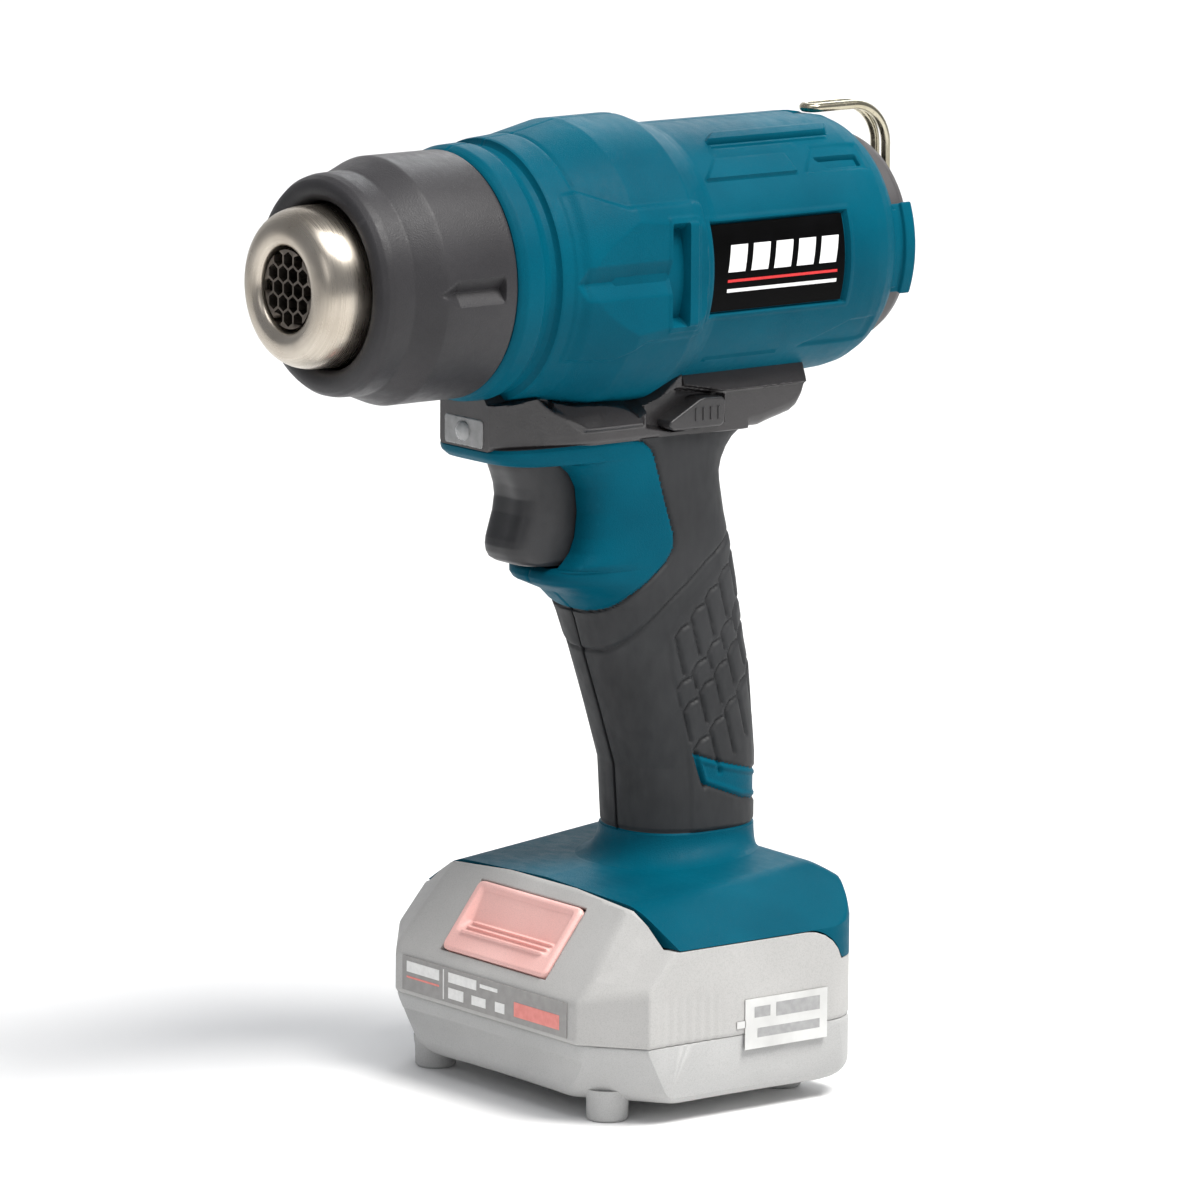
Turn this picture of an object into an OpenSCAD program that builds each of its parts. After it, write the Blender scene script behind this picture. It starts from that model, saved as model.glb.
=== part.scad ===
/* [Placement] */
// Distance from the middle of the object to the seam between guard and housing
seam_x = 46.55; // [46:0.05:47]
// Height of the barrel axis over the surface that the pack stands on
axis_z = 213; // [213:1:216]

/* [Barrel] */
// Radius of the housing behind the bulge
barrel_r = 33.4; // [33:0.1:34]
// Radius of the bulge over the fan
bulge_r = 36.8; // [36:0.1:37.5]
// Thickness of the moulded housing walls
wall = 2.4; // [2:0.1:2.6]

/* [Nozzle] */
// Radius of the steel nozzle
nozzle_r = 20.2; // [20:0.1:20.4]
// Radius of the air outlet
outlet_r = 9.9; // [9.5:0.1:10.2]
// Distance from the seam to the tip of the nozzle
nozzle_tip = 49.8; // [49:0.1:50.5]
// Distance between the honeycomb cells
cell_pitch = 4.2; // [4:0.1:4.4]

/* [Handle] */
// Half of the width across the grip
grip_half_w = 17.6; // [17.2:0.1:18]
// Thickness of the rubber on the grip
rubber_t = 1.6; // [1.4:0.1:1.8]
// Half of the width of the trigger
trigger_half_w = 8.2; // [8:0.1:8.4]

/* [Battery pack] */
// Half of the width of the pack and of the foot
pack_half_w = 53.5; // [53:0.1:54]
// Number of cells side by side
cell_count = 5; // [5:1:5]
// Radius of one cell
cell_r = 9.1; // [9:0.05:9.2]
// Length of one cell
cell_len = 65; // [64:0.5:65]

/* [Hook] */
// Radius of the hook wire
wire_r = 1.2; // [1.1:0.05:1.25]
// Half of the distance between the two wires
wire_half_gap = 2.2; // [2.1:0.1:2.4]

/* [Hidden] */

round_fn = 96;
small_fn = 32;
hull_fn = 32;
eps = 0.01;
gap = 0.4;
far = 400;

teal = [0.05, 0.42, 0.52];
dark = [0.19, 0.19, 0.2];
steel = [0.75, 0.72, 0.68];
pale = [0.74, 0.74, 0.73];
copper = [0.72, 0.45, 0.28];
ceramic = [0.9, 0.88, 0.82];

// Stations along the barrel, measured forward from the seam
neck_back = -8;
ring_front = -12.2;
bulge_front = -26;
bulge_back = -52.5;
barrel_back = -122.5;
barrel_inner_r = 31;
bulge_inner_r = bulge_r - wall;
cap_r = 27.6;
cap_back = -130;
motor_r = 14;
motor_front = -70;
motor_back = -108;
shaft_r = 1.5;
bearing_play = 0.05;
fan_r = 25.5;
heater_front = 18;
heater_back = -27;

// Side heights, measured up from the barrel axis
chin_x = -6.5;
saddle_half_w = 16.6;
trigger_top = -49.2;
trigger_low = -76;
foot_top = -150;
foot_front = -33;
foot_back = -96.5;
foot_low = -168;
corner_r = 13;
pack_front = -13.8;
seam_z = -192.4;
pack_low = -208.2;
tongue_half_w = 24;
neck_half_w = 20;
tongue_top = -162.4;
tongue_low = -168.4;
tongue_back = -82;

// Hook pivot
pivot_x = -140;
pivot_z = 4;
hook_top = 33.8;
notch_floor = 31.9;
label_seat_r = 32.3;
bend_r = 11;
hook_front = -114;

// Grip sections: height, centre, half depth, half width
GRIP = [
    [-86, -65, 24.8, saddle_half_w + rubber_t],
    [-112, -71.2, 21.6, grip_half_w],
    [-133, -74.7, 19.9, grip_half_w - 0.3],
    [-152, -75, 19.2, grip_half_w]
];

// Screw places: forward, up, half length of the boss
SCREWS = [
    [-23, -41, 13],
    [-73, -53, 14.2],
    [-88, -37.5, 14.2],
    [-57, -88, 12],
    [-76, -146, 11]
];

module at_axis() {
    translate([seam_x, 0, axis_z]) children();
}

// Solid of revolution about the barrel axis from [radius, forward] points
module turned(points, sides = round_fn) {
    rotate([0, 90, 0]) rotate_extrude($fn = sides) polygon(points);
}

module tube_x(r_out, r_in, x_from, x_to) {
    turned([[r_in, x_from], [r_out, x_from], [r_out, x_to], [r_in, x_to]]);
}

module rod_x(r, x_from, x_to, sides = round_fn) {
    translate([x_from, 0, 0]) rotate([0, 90, 0]) cylinder(h = x_to - x_from, r = r, $fn = sides);
}

module rod_y(r, y_from, y_to, sides = small_fn) {
    translate([0, y_to, 0]) rotate([90, 0, 0]) cylinder(h = y_to - y_from, r = r, $fn = sides);
}

// Side outline of [forward, up] points, as thick as the given span across
module side_slab(points, y_from, y_to) {
    translate([0, y_to, 0]) rotate([90, 0, 0]) linear_extrude(y_to - y_from) polygon(points);
}

// Front outline of [left, up] points, as long as the given span forward
module front_slab(points, x_from, x_to) {
    translate([x_from, 0, 0]) rotate([90, 0, 90]) linear_extrude(x_to - x_from) polygon(points);
}

module block(low, high) {
    translate(low) cube(high - low);
}

// One half of space: side 1 is left, side -1 is right
module half_space(side) {
    y_low = side > 0 ? 0 : -far;
    block([-far, y_low, -far], [far, y_low + far, far]);
}

module both_sides() {
    children();
    mirror([0, 1, 0]) children();
}

function arc(cx, cy, r, from, to, steps) =
    [for (i = [0 : steps]) let (a = from + (to - from) * i / steps) [cx + r * cos(a), cy + r * sin(a)]];

function shell_outline(inset) = [
    [30.4 - inset, -0.4],
    [30.4 - inset, neck_back],
    [29.4 - inset, neck_back - 1],
    [29.6 - inset, ring_front + 0.8],
    [32.3 - inset, ring_front],
    [33 - inset, -17.5],
    [bulge_r - 0.6 - inset, bulge_front],
    [bulge_r - inset, -34],
    [bulge_r - inset, bulge_back],
    [barrel_r + 0.4 - inset, -60],
    [barrel_r - inset, -64],
    [barrel_r - inset, -109],
    [barrel_r - 0.8 - inset, -114],
    [barrel_r - 3 - inset, -119.5],
    [28.2 - inset, barrel_back]
];

module barrel_solid() {
    turned(concat([[0, -0.4]], shell_outline(0), [[0, barrel_back]]));
}

module barrel_hollow() {
    turned([
        [0, 1], [28.2, 1], [28.2, ring_front - 2], [30.4, -19], [bulge_inner_r, -28],
        [bulge_inner_r, bulge_back], [barrel_inner_r, -60], [barrel_inner_r, -114],
        [cap_r + 0.1, -116], [cap_r + 0.1, cap_back - 1], [0, cap_back - 1]
    ]);
}

BODY_SIDE = [
    [chin_x, -26], [chin_x, -44.5], [-9.5, -48], [-34, -48.6], [-36, -76.6], [-27, -77.2],
    [-28, -81], [-36, -84.5], [-37, -86.2], [-87.4, -86.2], [-87, -83], [-84.4, -74], [-82, -66],
    [-80.3, -58], [-80.8, -52], [-84.5, -46.8], [-91, -43.4], [-99, -41.6], [-102.2, -38.5],
    [-103, -26]
];

BODY_HOLLOW = [
    [-10, -30], [-10, -42], [-12, -45.6], [-36.4, -46.2], [-38.4, -78], [-32, -79.4], [-31.4, -80.2],
    [-38, -82.2], [-44, -89.5], [-87.4, -89.5], [-84.6, -83], [-82, -74], [-79.6, -66], [-77.9, -58],
    [-78.4, -51], [-82.8, -44.8], [-90, -41], [-98.6, -39], [-99.6, -37], [-100, -30]
];

module grip_solid(inset) {
    for (i = [0 : 2]) {
        hull() {
            grip_slice(GRIP[i], inset);
            grip_slice(GRIP[i + 1], inset);
        }
    }
}

module grip_slice(s, inset) {
    translate([s[1], 0, s[0]])
        scale([(s[2] - inset) / s[3], (s[3] - inset) / s[3], 1])
            cylinder(h = eps, r = s[3], $fn = hull_fn);
}

FOOT_SIDE = concat(
    [[foot_front, foot_low], [foot_front, -158.2], [-54, -152], [-60, foot_top], [-91, foot_top],
     [-95.6, -154.6], [foot_back, -164], [foot_back, -176.2], [-88.6, -176.2]],
    arc(-76, -180.6, 12.6, 160, 90, 5)
);

module foot_solid() {
    intersection() {
        side_slab(FOOT_SIDE, -pack_half_w, pack_half_w);
        front_slab([
            [-pack_half_w, -177], [-pack_half_w, foot_low], [-38, -154.6], [-19, foot_top],
            [19, foot_top], [38, -154.6], [pack_half_w, foot_low], [pack_half_w, -177]
        ], foot_back - 1, foot_front + 1);
        translate([-88, 0, -154.6]) rotate([0, 5.5, 0]) front_slab([
            [-pack_half_w, -30], [-pack_half_w, -8.4], [-38, 0], [-19, 2.6],
            [19, 2.6], [38, 0], [pack_half_w, -8.4], [pack_half_w, -30]
        ], -20, 60);
        plan_outline(0, pack_front);
        front_corner_room();
    }
}

// Everything behind the slanted planes that cut the pack's and the foot's front corners
module front_corner_room() {
    difference() {
        block([-120, -60, -230], [0, 60, -140]);
        both_sides() {
            translate([-31.1, 37.7, -160.4]) rotate([0, 53.6, 32.8]) block([-60, -60, 0], [60, 60, 60]);
        }
    }
}

// Rounded rear corners and chamfered front corners, seen from above
module plan_outline(inset, front) {
    half = pack_half_w - inset;
    back = foot_back + inset;
    r = corner_r - inset;
    translate([0, 0, -230]) linear_extrude(100) polygon(concat(
        [[front - inset, -half + 15.1], [front - inset, half - 15.1], [front - 12, half]],
        arc(back + r, half - r, r, 90, 180, 8),
        arc(back + r, r - half, r, 180, 270, 8),
        [[front - 12, -half]]
    ));
}

module foot_hollow() {
    rail_top = tongue_top + gap;
    block([-92, -tongue_half_w - gap, tongue_low + 2.4], [-70, tongue_half_w + gap, -156.5]);
    block([-92, -tongue_half_w - gap, tongue_low + 2.4], [foot_front + 1, tongue_half_w + gap, rail_top]);
    block([-84, -neck_half_w - gap, foot_low - 1], [foot_front + 1, neck_half_w + gap, rail_top]);
    both_sides() block([-84, tongue_half_w + 3, foot_low - 1], [foot_front - 3, 36, rail_top]);
}

module housing_half(side) {
    color(teal) at_axis() intersection() {
        half_space(side);
        difference() {
            union() {
                barrel_solid();
                side_slab(BODY_SIDE, -saddle_half_w, saddle_half_w);
                grip_solid(rubber_t);
                foot_solid();
                trigger_panel();
                rear_tab();
            }
            barrel_hollow();
            difference() {
                side_slab(BODY_HOLLOW, -saddle_half_w + wall, saddle_half_w - wall);
                screw_bosses();
            }
            difference() {
                grip_solid(rubber_t + wall);
                screw_bosses();
            }
            foot_hollow();
            block([-50, -trigger_half_w - gap, trigger_low - 0.6], [-20, trigger_half_w + gap, trigger_top + 0.6]);
            block([-12.2, -8.3, -44.2], [chin_x + 1, 8.3, -36]);
            block([-73.6, -30, -43.3], [-51.4, 30, -34.6]);
            block([-126, -4.4, notch_floor], [-108, 4.4, 40]);
            vent_slots();
            label_recess();
            screw_holes();
            block([-87, -11, -158], [-60, 11, -148]);
        }
    }
}

// Raised smooth panel behind the trigger
module trigger_panel() {
    panel = concat(
        [[-10, -46.2], [-30, -45.4], [-51, -44.6]],
        arc(-52.5, -50.4, 6, 95, 172, 4),
        arc(-54, -70, 6, 180, 228, 3),
        [[-44, -85.6], [-37, -88], [-29, -81], [-38, -78], [-36.4, -49], [-12, -48.4]]
    );
    side_slab(panel, -saddle_half_w - 0.9, saddle_half_w + 0.9);
}

module rear_tab() {
    both_sides() block([-128.5, 24.6, -11.5], [-119.5, 30, 11.5]);
}

module vent_slots() {
    both_sides() block([-52.4, 29, -11], [-49.2, 40, 11]);
}

module label_recess() {
    both_sides() curved_plate(label_seat_r, barrel_r + 3, -103.5, -58.6, 12.4);
}

// Plate that follows the barrel's side
module curved_plate(r_in, r_out, x_from, x_to, half_h) {
    intersection() {
        tube_x(r_out, r_in, x_from, x_to);
        block([x_from - 1, 0, -half_h], [x_to + 1, far, half_h]);
    }
}

module screw_bosses() {
    for (s = SCREWS) {
        translate([s[0], 0, s[1]]) rod_y(3.4, -s[2] - 3, s[2] + 3);
    }
}

module screw_holes() {
    for (s = SCREWS) {
        translate([s[0], 0, s[1]]) {
            rod_y(1.5, -s[2], s[2] - 2);
            rod_y(2.9, -30, -s[2] + 1);
        }
    }
}

module housing_left() {
    housing_half(1);
}

module housing_right() {
    housing_half(-1);
}

// Rubber over the saddle, the web of the hand and the grip
module grip_half(side) {
    skin_in = saddle_half_w + 0.02;
    skin_out = saddle_half_w + rubber_t;
    band = [
        [-9.5, -28], [-9.5, -44.4], [-30, -44.2], [-52, -43.4], [-58.6, -49.5], [-61, -70],
        [-57.5, -75.5], [-44.4, -87], [-90, -87], [-86.4, -82], [-84, -73], [-81.6, -65],
        [-79.9, -57.5], [-80.4, -51.8], [-84, -46.4], [-90.7, -42.8], [-98.8, -41], [-101.6, -38],
        [-101.6, -28]
    ];
    color(dark) at_axis() difference() {
        intersection() {
            half_space(side);
            union() {
                both_sides() side_slab(band, skin_in, skin_out);
                difference() {
                    grip_solid(0);
                    grip_solid(rubber_t - 0.02);
                    block([-120, -30, -160], [-30, 30, foot_top + 0.1]);
                }
            }
        }
        turned([[0, -130], [barrel_r + 0.6, -130], [barrel_r + 0.6, -60], [bulge_r + 0.2, -54],
            [bulge_r + 0.2, -24], [barrel_r, -18], [barrel_r, 4], [0, 4]]);
        side_slab(BODY_SIDE, -saddle_half_w, saddle_half_w);
        trigger_panel();
        block([-74, -30, -43.7], [-51, 30, -34.2]);
        screw_holes();
    }
}

module grip_left() {
    grip_half(1);
}

module grip_right() {
    grip_half(-1);
}

module nozzle_guard() {
    notch = [[3.5, -3.2], [3.5, 3.2], [19, 3.2], [24, 0], [19, -3.2]];
    color(dark) at_axis() difference() {
        turned([
            [26, -7], [27.9, -7], [27.9, 0], [31.2, 0], [31.2, 21.5], [30.6, 23], [28.3, 29],
            [28.1, 34.4], [27.2, 36.4], [25.8, 37.5], [23.8, 37.6], [22.3, 36.6], [22.2, 33.5],
            [25.6, 32], [25.8, 29], [28, 21], [28, 2], [26, 1]
        ]);
        both_sides() side_slab(notch, 29.4, 40);
    }
}

function dome(r_add) =
    [for (t = [0 : 9]) [outlet_r + 0.5 + (nozzle_r - outlet_r - 0.5 + r_add) * cos(10 * t),
        36 + (nozzle_tip - 36 + r_add) * sin(10 * t)]];

module nozzle_tube() {
    sheet = 0.8;
    inside = dome(-sheet);
    color(steel) at_axis() turned(concat(
        [[19.4, heater_back - 2], [nozzle_r, heater_back - 2]],
        dome(0),
        [[outlet_r, nozzle_tip - 0.5], [outlet_r, 41], [outlet_r + sheet, 41]],
        [for (i = [len(inside) - 1 : -1 : 0]) inside[i]]
    ));
}

// Sieve of hexagonal cells, with the cells' points up
module outlet_honeycomb() {
    cell_r = cell_pitch / 2 / cos(30) - 0.36;
    color(dark) at_axis() difference() {
        rod_x(outlet_r - 0.02, 43, 46.4);
        for (row = [-2 : 2]) {
            count = 5 - abs(row);
            for (i = [0 : count - 1]) {
                translate([40, (i - (count - 1) / 2) * cell_pitch, row * cell_pitch * sin(60)])
                    rotate([0, 90, 0]) cylinder(h = 10, r = cell_r, $fn = 6);
            }
        }
    }
}

module heat_shield() {
    color(steel) at_axis() tube_x(24.6, 24, -28, 28);
}

module mica_sleeve() {
    color([0.85, 0.78, 0.6]) at_axis() tube_x(18.8, 18.2, heater_back, heater_front + 2);
}

// Ceramic former with four air channels and a middle hole
module heater_core() {
    color(ceramic) at_axis() difference() {
        rod_x(12.5, heater_back, heater_front);
        rod_x(2.5, heater_back - 1, heater_front + 1);
        for (a = [45 : 90 : 315]) {
            rotate([a, 0, 0]) translate([0, 7.4, 0]) rod_x(2.8, heater_back - 1, heater_front + 1, small_fn);
        }
    }
}

// One helix of round wire along the barrel direction
module helix(coil_r, coil_wire_r, x_from, x_to, turns, per_turn) {
    sides = 6;
    last = turns * per_turn;
    points = [for (i = [0 : last]) for (k = [0 : sides - 1])
        let (a = 360 * i / per_turn, b = 360 * k / sides, r = coil_r + coil_wire_r * cos(b))
        [x_from + (x_to - x_from) * i / last + coil_wire_r * sin(b), r * cos(a), r * sin(a)]];
    sleeve = [for (i = [0 : last - 1]) for (k = [0 : sides - 1])
        let (n = (k + 1) % sides)
        [i * sides + k, i * sides + n, (i + 1) * sides + n, (i + 1) * sides + k]];
    ends = [[for (k = [sides - 1 : -1 : 0]) k], [for (k = [0 : sides - 1]) last * sides + k]];
    polyhedron(points, concat(sleeve, ends));
}

// Resistance wire: the turns of one helix round the former
module heater_coil() {
    color(copper) at_axis() helix(14.2, 0.7, heater_back + 3, heater_front - 3, 9, 20);
}

module heater_mount() {
    color(ceramic) at_axis() difference() {
        rod_x(24.4, heater_back - 5, heater_back - 2);
        for (a = [0 : 60 : 300]) {
            rotate([a, 0, 0]) translate([0, 14.5, 0]) rod_x(5.4, heater_back - 6, heater_back, small_fn);
        }
        rod_x(4, heater_back - 6, heater_back, small_fn);
    }
}

module thermal_cutout() {
    color("gainsboro") at_axis() {
        translate([0, 0, 26.4]) block([-22, -3.5, -1.6], [-11, 3.5, 0.6]);
        translate([-11, 0, 26]) rod_x(0.5, 0, 4, small_fn);
    }
}

// Funnel that leads the fan's air into the heater
module air_duct() {
    color([0.55, 0.5, 0.42]) at_axis() turned([
        [26.6, -66], [30.4, -66], [30.4, -46], [25.4, -36], [25.4, -33], [23.6, -33], [23.6, -36.6],
        [26.6, -47.4]
    ]);
}

module fan_impeller() {
    blades = 9;
    color([0.25, 0.27, 0.3]) at_axis() {
        difference() {
            union() {
                rod_x(6.5, -64, -51);
                rod_x(fan_r, -64, -62);
                for (a = [0 : 360 / blades : 359]) {
                    rotate([a, 0, 0]) translate([-62.4, 5.6, -0.8]) cube([9.4, fan_r - 6.4, 1.6]);
                }
            }
            rod_x(shaft_r, -70, -48, small_fn);
        }
    }
}

module fan_shaft() {
    color(steel) at_axis() rod_x(shaft_r, -113.5, -52, small_fn);
}

module motor_can() {
    color([0.72, 0.72, 0.74]) at_axis() difference() {
        rod_x(motor_r, motor_back, motor_front);
        rod_x(motor_r - 1.2, motor_back - 1, motor_front - 2.5);
        rod_x(shaft_r + bearing_play, motor_front - 4, motor_front + 1, small_fn);
        for (a = [0, 180]) {
            rotate([a, 0, 0]) translate([0, 7.5, 0]) rod_x(1.3, motor_front - 4, motor_front + 1, small_fn);
        }
    }
}

module motor_magnets() {
    color([0.3, 0.3, 0.32]) at_axis() difference() {
        tube_x(motor_r - 1.3, 10, -102, -76);
        block([-110, -20, -3], [-70, 20, 3]);
    }
}

module motor_armature() {
    color(copper) at_axis() difference() {
        union() {
            rod_x(9.2, -100, -78);
            rod_x(4, -106, -100);
        }
        rod_x(shaft_r, -110, -70, small_fn);
        for (a = [0 : 72 : 288]) {
            rotate([a, 0, 0]) translate([-101, 5, -0.8]) cube([24, 6, 1.6]);
        }
    }
}

module motor_end_cap() {
    color([0.14, 0.14, 0.15]) at_axis() difference() {
        union() {
            rod_x(motor_r, motor_back - 4, motor_back);
            rod_x(motor_r - 1.3, motor_back, motor_back + 1.5);
            both_sides() block([motor_back - 8, 8, -2], [motor_back - 4, 8.8, 2]);
        }
        rod_x(shaft_r + bearing_play, motor_back - 5, motor_back + 2, small_fn);
    }
}

module motor_mount() {
    color([0.2, 0.2, 0.21]) at_axis() difference() {
        rod_x(barrel_inner_r - 0.1, -74, -69);
        rod_x(motor_r, -80, motor_front, round_fn);
        rod_x(5, motor_front - 1, -60, small_fn);
        for (a = [45 : 90 : 315]) {
            rotate([a, 0, 0]) translate([0, 22, 0]) rod_x(6.4, -80, -60, small_fn);
        }
    }
}

module dust_screen() {
    color([0.5, 0.5, 0.5]) at_axis() difference() {
        rod_x(25.2, -119.5, -118.7);
        for (y = [-20 : 4 : 20]) {
            for (z = [-20 : 4 : 20]) {
                if (norm([y, z]) < 22) {
                    translate([-121, y - 1.4, z - 1.4]) cube([4, 2.8, 2.8]);
                }
            }
        }
    }
}

// Rear intake cap with slots and the two lugs of the hook
module rear_cap() {
    lug_in = 4;
    lug_out = 7;
    lug_r = 2.9;
    color([0.42, 0.4, 0.42]) at_axis() difference() {
        union() {
            turned([
                [0, cap_back], [23.5, cap_back], [26, cap_back + 1.2], [27.2, cap_back + 3.4],
                [27.4, -116.2], [25.4, -116.2], [25.4, cap_back + 2.6], [0, cap_back + 2.6]
            ]);
            both_sides() {
                translate([pivot_x, 0, pivot_z]) rod_y(lug_r, lug_in, lug_out);
                block([pivot_x, lug_in, pivot_z - lug_r], [cap_back + 0.5, lug_out, pivot_z + lug_r]);
            }
        }
        for (z = [-18 : 6 : 18]) {
            reach = sqrt(22 * 22 - z * z);
            both_sides() block([-135, abs(z - 4) < 6 ? 9.5 : 1.4, z - 1.2], [-125, reach, z + 1.2]);
        }
        translate([pivot_x, 0, pivot_z]) rod_y(wire_r + bearing_play, -10, 10);
    }
}

// A quarter bend of wire in the side plane, turning about [cx, cz]
module wire_bend_side(cx, cz, start) {
    translate([cx, 0, cz]) rotate([90, 0, 0]) rotate([0, 0, start])
        rotate_extrude(angle = 90, $fn = 64) translate([bend_r, 0]) circle(r = wire_r, $fn = 24);
}

// Doubled wire: two feet in the lugs, two legs, a closed loop over the housing
module hook() {
    loop_x = hook_front - wire_r - wire_half_gap;
    color(steel) at_axis() {
        both_sides() {
            translate([pivot_x, 0, pivot_z]) rod_y(wire_r, wire_half_gap, 6.6, 24);
            translate([0, wire_half_gap, 0]) {
                translate([pivot_x, 0, pivot_z]) sphere(r = wire_r, $fn = 24);
                translate([pivot_x, 0, pivot_z]) cylinder(h = hook_top - bend_r - pivot_z, r = wire_r, $fn = 24);
                wire_bend_side(pivot_x + bend_r, hook_top - bend_r, 90);
                translate([0, 0, hook_top]) rod_x(wire_r, pivot_x + bend_r, loop_x, 24);
            }
        }
        translate([loop_x, 0, hook_top]) rotate([0, 0, -90])
            rotate_extrude(angle = 180, $fn = 64) translate([wire_half_gap, 0]) circle(r = wire_r, $fn = 24);
    }
}

module label_plate(side) {
    color([0.05, 0.05, 0.05]) at_axis() mirror([0, side > 0 ? 0 : 1, 0])
        curved_plate(label_seat_r + 0.02, barrel_r - 0.3, -102, -60, 11);
}

module label_left() {
    label_plate(1);
}

module label_right() {
    label_plate(-1);
}

module led_lens() {
    color([0.8, 0.85, 0.88, 0.5]) at_axis() {
        block([-8.9, -8, -44], [chin_x + 0.2, 8, -36.3]);
        translate([0, 0, -40.2]) rod_x(2.6, chin_x, chin_x + 1, small_fn);
    }
}

module led_board() {
    color([0.1, 0.4, 0.2]) at_axis() {
        block([-12, -7, -43.4], [-10.6, 7, -37]);
        block([-10.6, -1.6, -41.8], [-9.4, 1.6, -38.6]);
    }
}

module trigger() {
    face = [
        [-17.5, trigger_top], [-19, -53], [-20.2, -58.5], [-19.5, -63.5], [-17.6, -69], [-18.4, -73],
        [-22.5, -75.6], [-26, trigger_low], [-41, trigger_low], [-42, -70], [-42, trigger_top]
    ];
    color(dark) at_axis() intersection() {
        side_slab(face, -trigger_half_w, trigger_half_w);
        translate([0, 0, -90]) linear_extrude(60) polygon(concat(
            arc(-21.6, 4.2, 4, 90, 20, 4), [[-16, 0]], arc(-21.6, -4.2, 4, -20, -90, 4),
            [[-44, -trigger_half_w], [-44, trigger_half_w]]
        ));
    }
}

module trigger_spring() {
    color(steel) at_axis() translate([0, 0, -62]) helix(3.4, 0.35, -49.4, -42.5, 5, 16);
}

module switch_module() {
    color([0.12, 0.12, 0.13]) at_axis() {
        block([-68, -8.5, -79], [-50, 8.5, -48.5]);
        block([-66, -6, -81.5], [-52, 6, -79]);
    }
}

// Lock-off bolt through the saddle
module lock_button() {
    end_y = 20.4;
    outline = [[-73, -42.8], [-55, -42.8], [-52, -40.4], [-52, -38], [-54.5, -35.2], [-73, -35.2]];
    color([0.1, 0.1, 0.1]) at_axis() side_slab(outline, -end_y, end_y);
}

module control_board() {
    color([0.08, 0.35, 0.2]) at_axis() {
        block([-73.6, -11, -140], [-72, 11, -100]);
        block([-72, -8, -124], [-66, 8, -112]);
        translate([-72, 5, -132]) rod_x(3.2, 0, 5, small_fn);
        translate([-72, -5, -132]) rod_x(3.2, 0, 5, small_fn);
        block([-75.4, -6, -108], [-73.6, 6, -102]);
    }
}

// Straight round lead between two points of one side plane
module lead(x_low, z_low, x_high, z_high, y) {
    run = norm([x_high - x_low, z_high - z_low]);
    tilt = atan2(x_high - x_low, z_high - z_low);
    translate([x_low, y, z_low]) rotate([0, tilt, 0]) cylinder(h = run, r = 1.1, $fn = 24);
}

module power_leads() {
    color("firebrick") at_axis() for (y = [-4, 4]) {
        lead(-84, -156.9, -80.4, -140, y);
        lead(-80.4, -140, -78, -84, y);
        lead(-78, -84, -69.4, -77, y);
        translate([-80.4, y, -140]) sphere(r = 1.25, $fn = 24);
        translate([-78, y, -84]) sphere(r = 1.25, $fn = 24);
    }
}

module terminal_block() {
    color([0.1, 0.1, 0.1]) at_axis() block([-90, -22, -165.2], [-83, 22, -157.2]);
}

BLADES = [-15, -7.5, 7.5, 15];

module terminal_blades() {
    color("gold") at_axis() for (y = BLADES) {
        block([-83, y - 0.4, -165], [-64, y + 0.4, -163]);
    }
}

module housing_screws() {
    color([0.25, 0.25, 0.26]) at_axis() for (s = SCREWS) {
        translate([s[0], 0, s[1]]) difference() {
            union() {
                rod_y(1.4, -s[2], s[2] - 4);
                rod_y(2.7, -s[2] - 1.6, -s[2] + 0.9);
            }
            rod_y(1, -s[2] - 3, -s[2] - 0.4, 6);
        }
    }
}

PACK_SIDE = concat(
    [[foot_back, seam_z + 0.2], [foot_back, -176.6], [-88.9, -176.6]],
    arc(-76, -181, 12.6, 160, 90, 5),
    [[-32.5, tongue_low], [-32.5, -158.4], [-31, -158.9], [pack_front - 0.4, -180.4], [pack_front, -181.2],
     [pack_front, seam_z + 0.2]]
);

module pack_upper_solid() {
    intersection() {
        side_slab(PACK_SIDE, -pack_half_w, pack_half_w);
        front_slab([
            [-pack_half_w, -195], [-pack_half_w, foot_low], [-37.7, -160.2], [-14, -158.4],
            [14, -158.4], [37.7, -160.2], [pack_half_w, foot_low], [pack_half_w, -195]
        ], foot_back - 1, pack_front + 1);
        plan_outline(0, pack_front);
        front_corner_room();
    }
}

// Angle of the sloped front and the middle of the latch on it
slope = atan2(21.5, 16.8);
latch_x = -22.4;
latch_z = -169.9;
latch_len = 20.5;
latch_half_w = 22;

// Bracket that the latch spring stands on
LATCH_SEAT = [
    [-34.1, -171.8], [-27.4, -180.4], [-22.6, -181], [-15, -182.6], [-15, -184.6], [-22.6, -183],
    [-29, -181.7], [-35.8, -173]
];

// Frame on the slope: forward is down the slope, up is out of it
module on_slope() {
    translate([latch_x, 0, latch_z]) rotate([0, slope, 0]) children();
}

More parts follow.
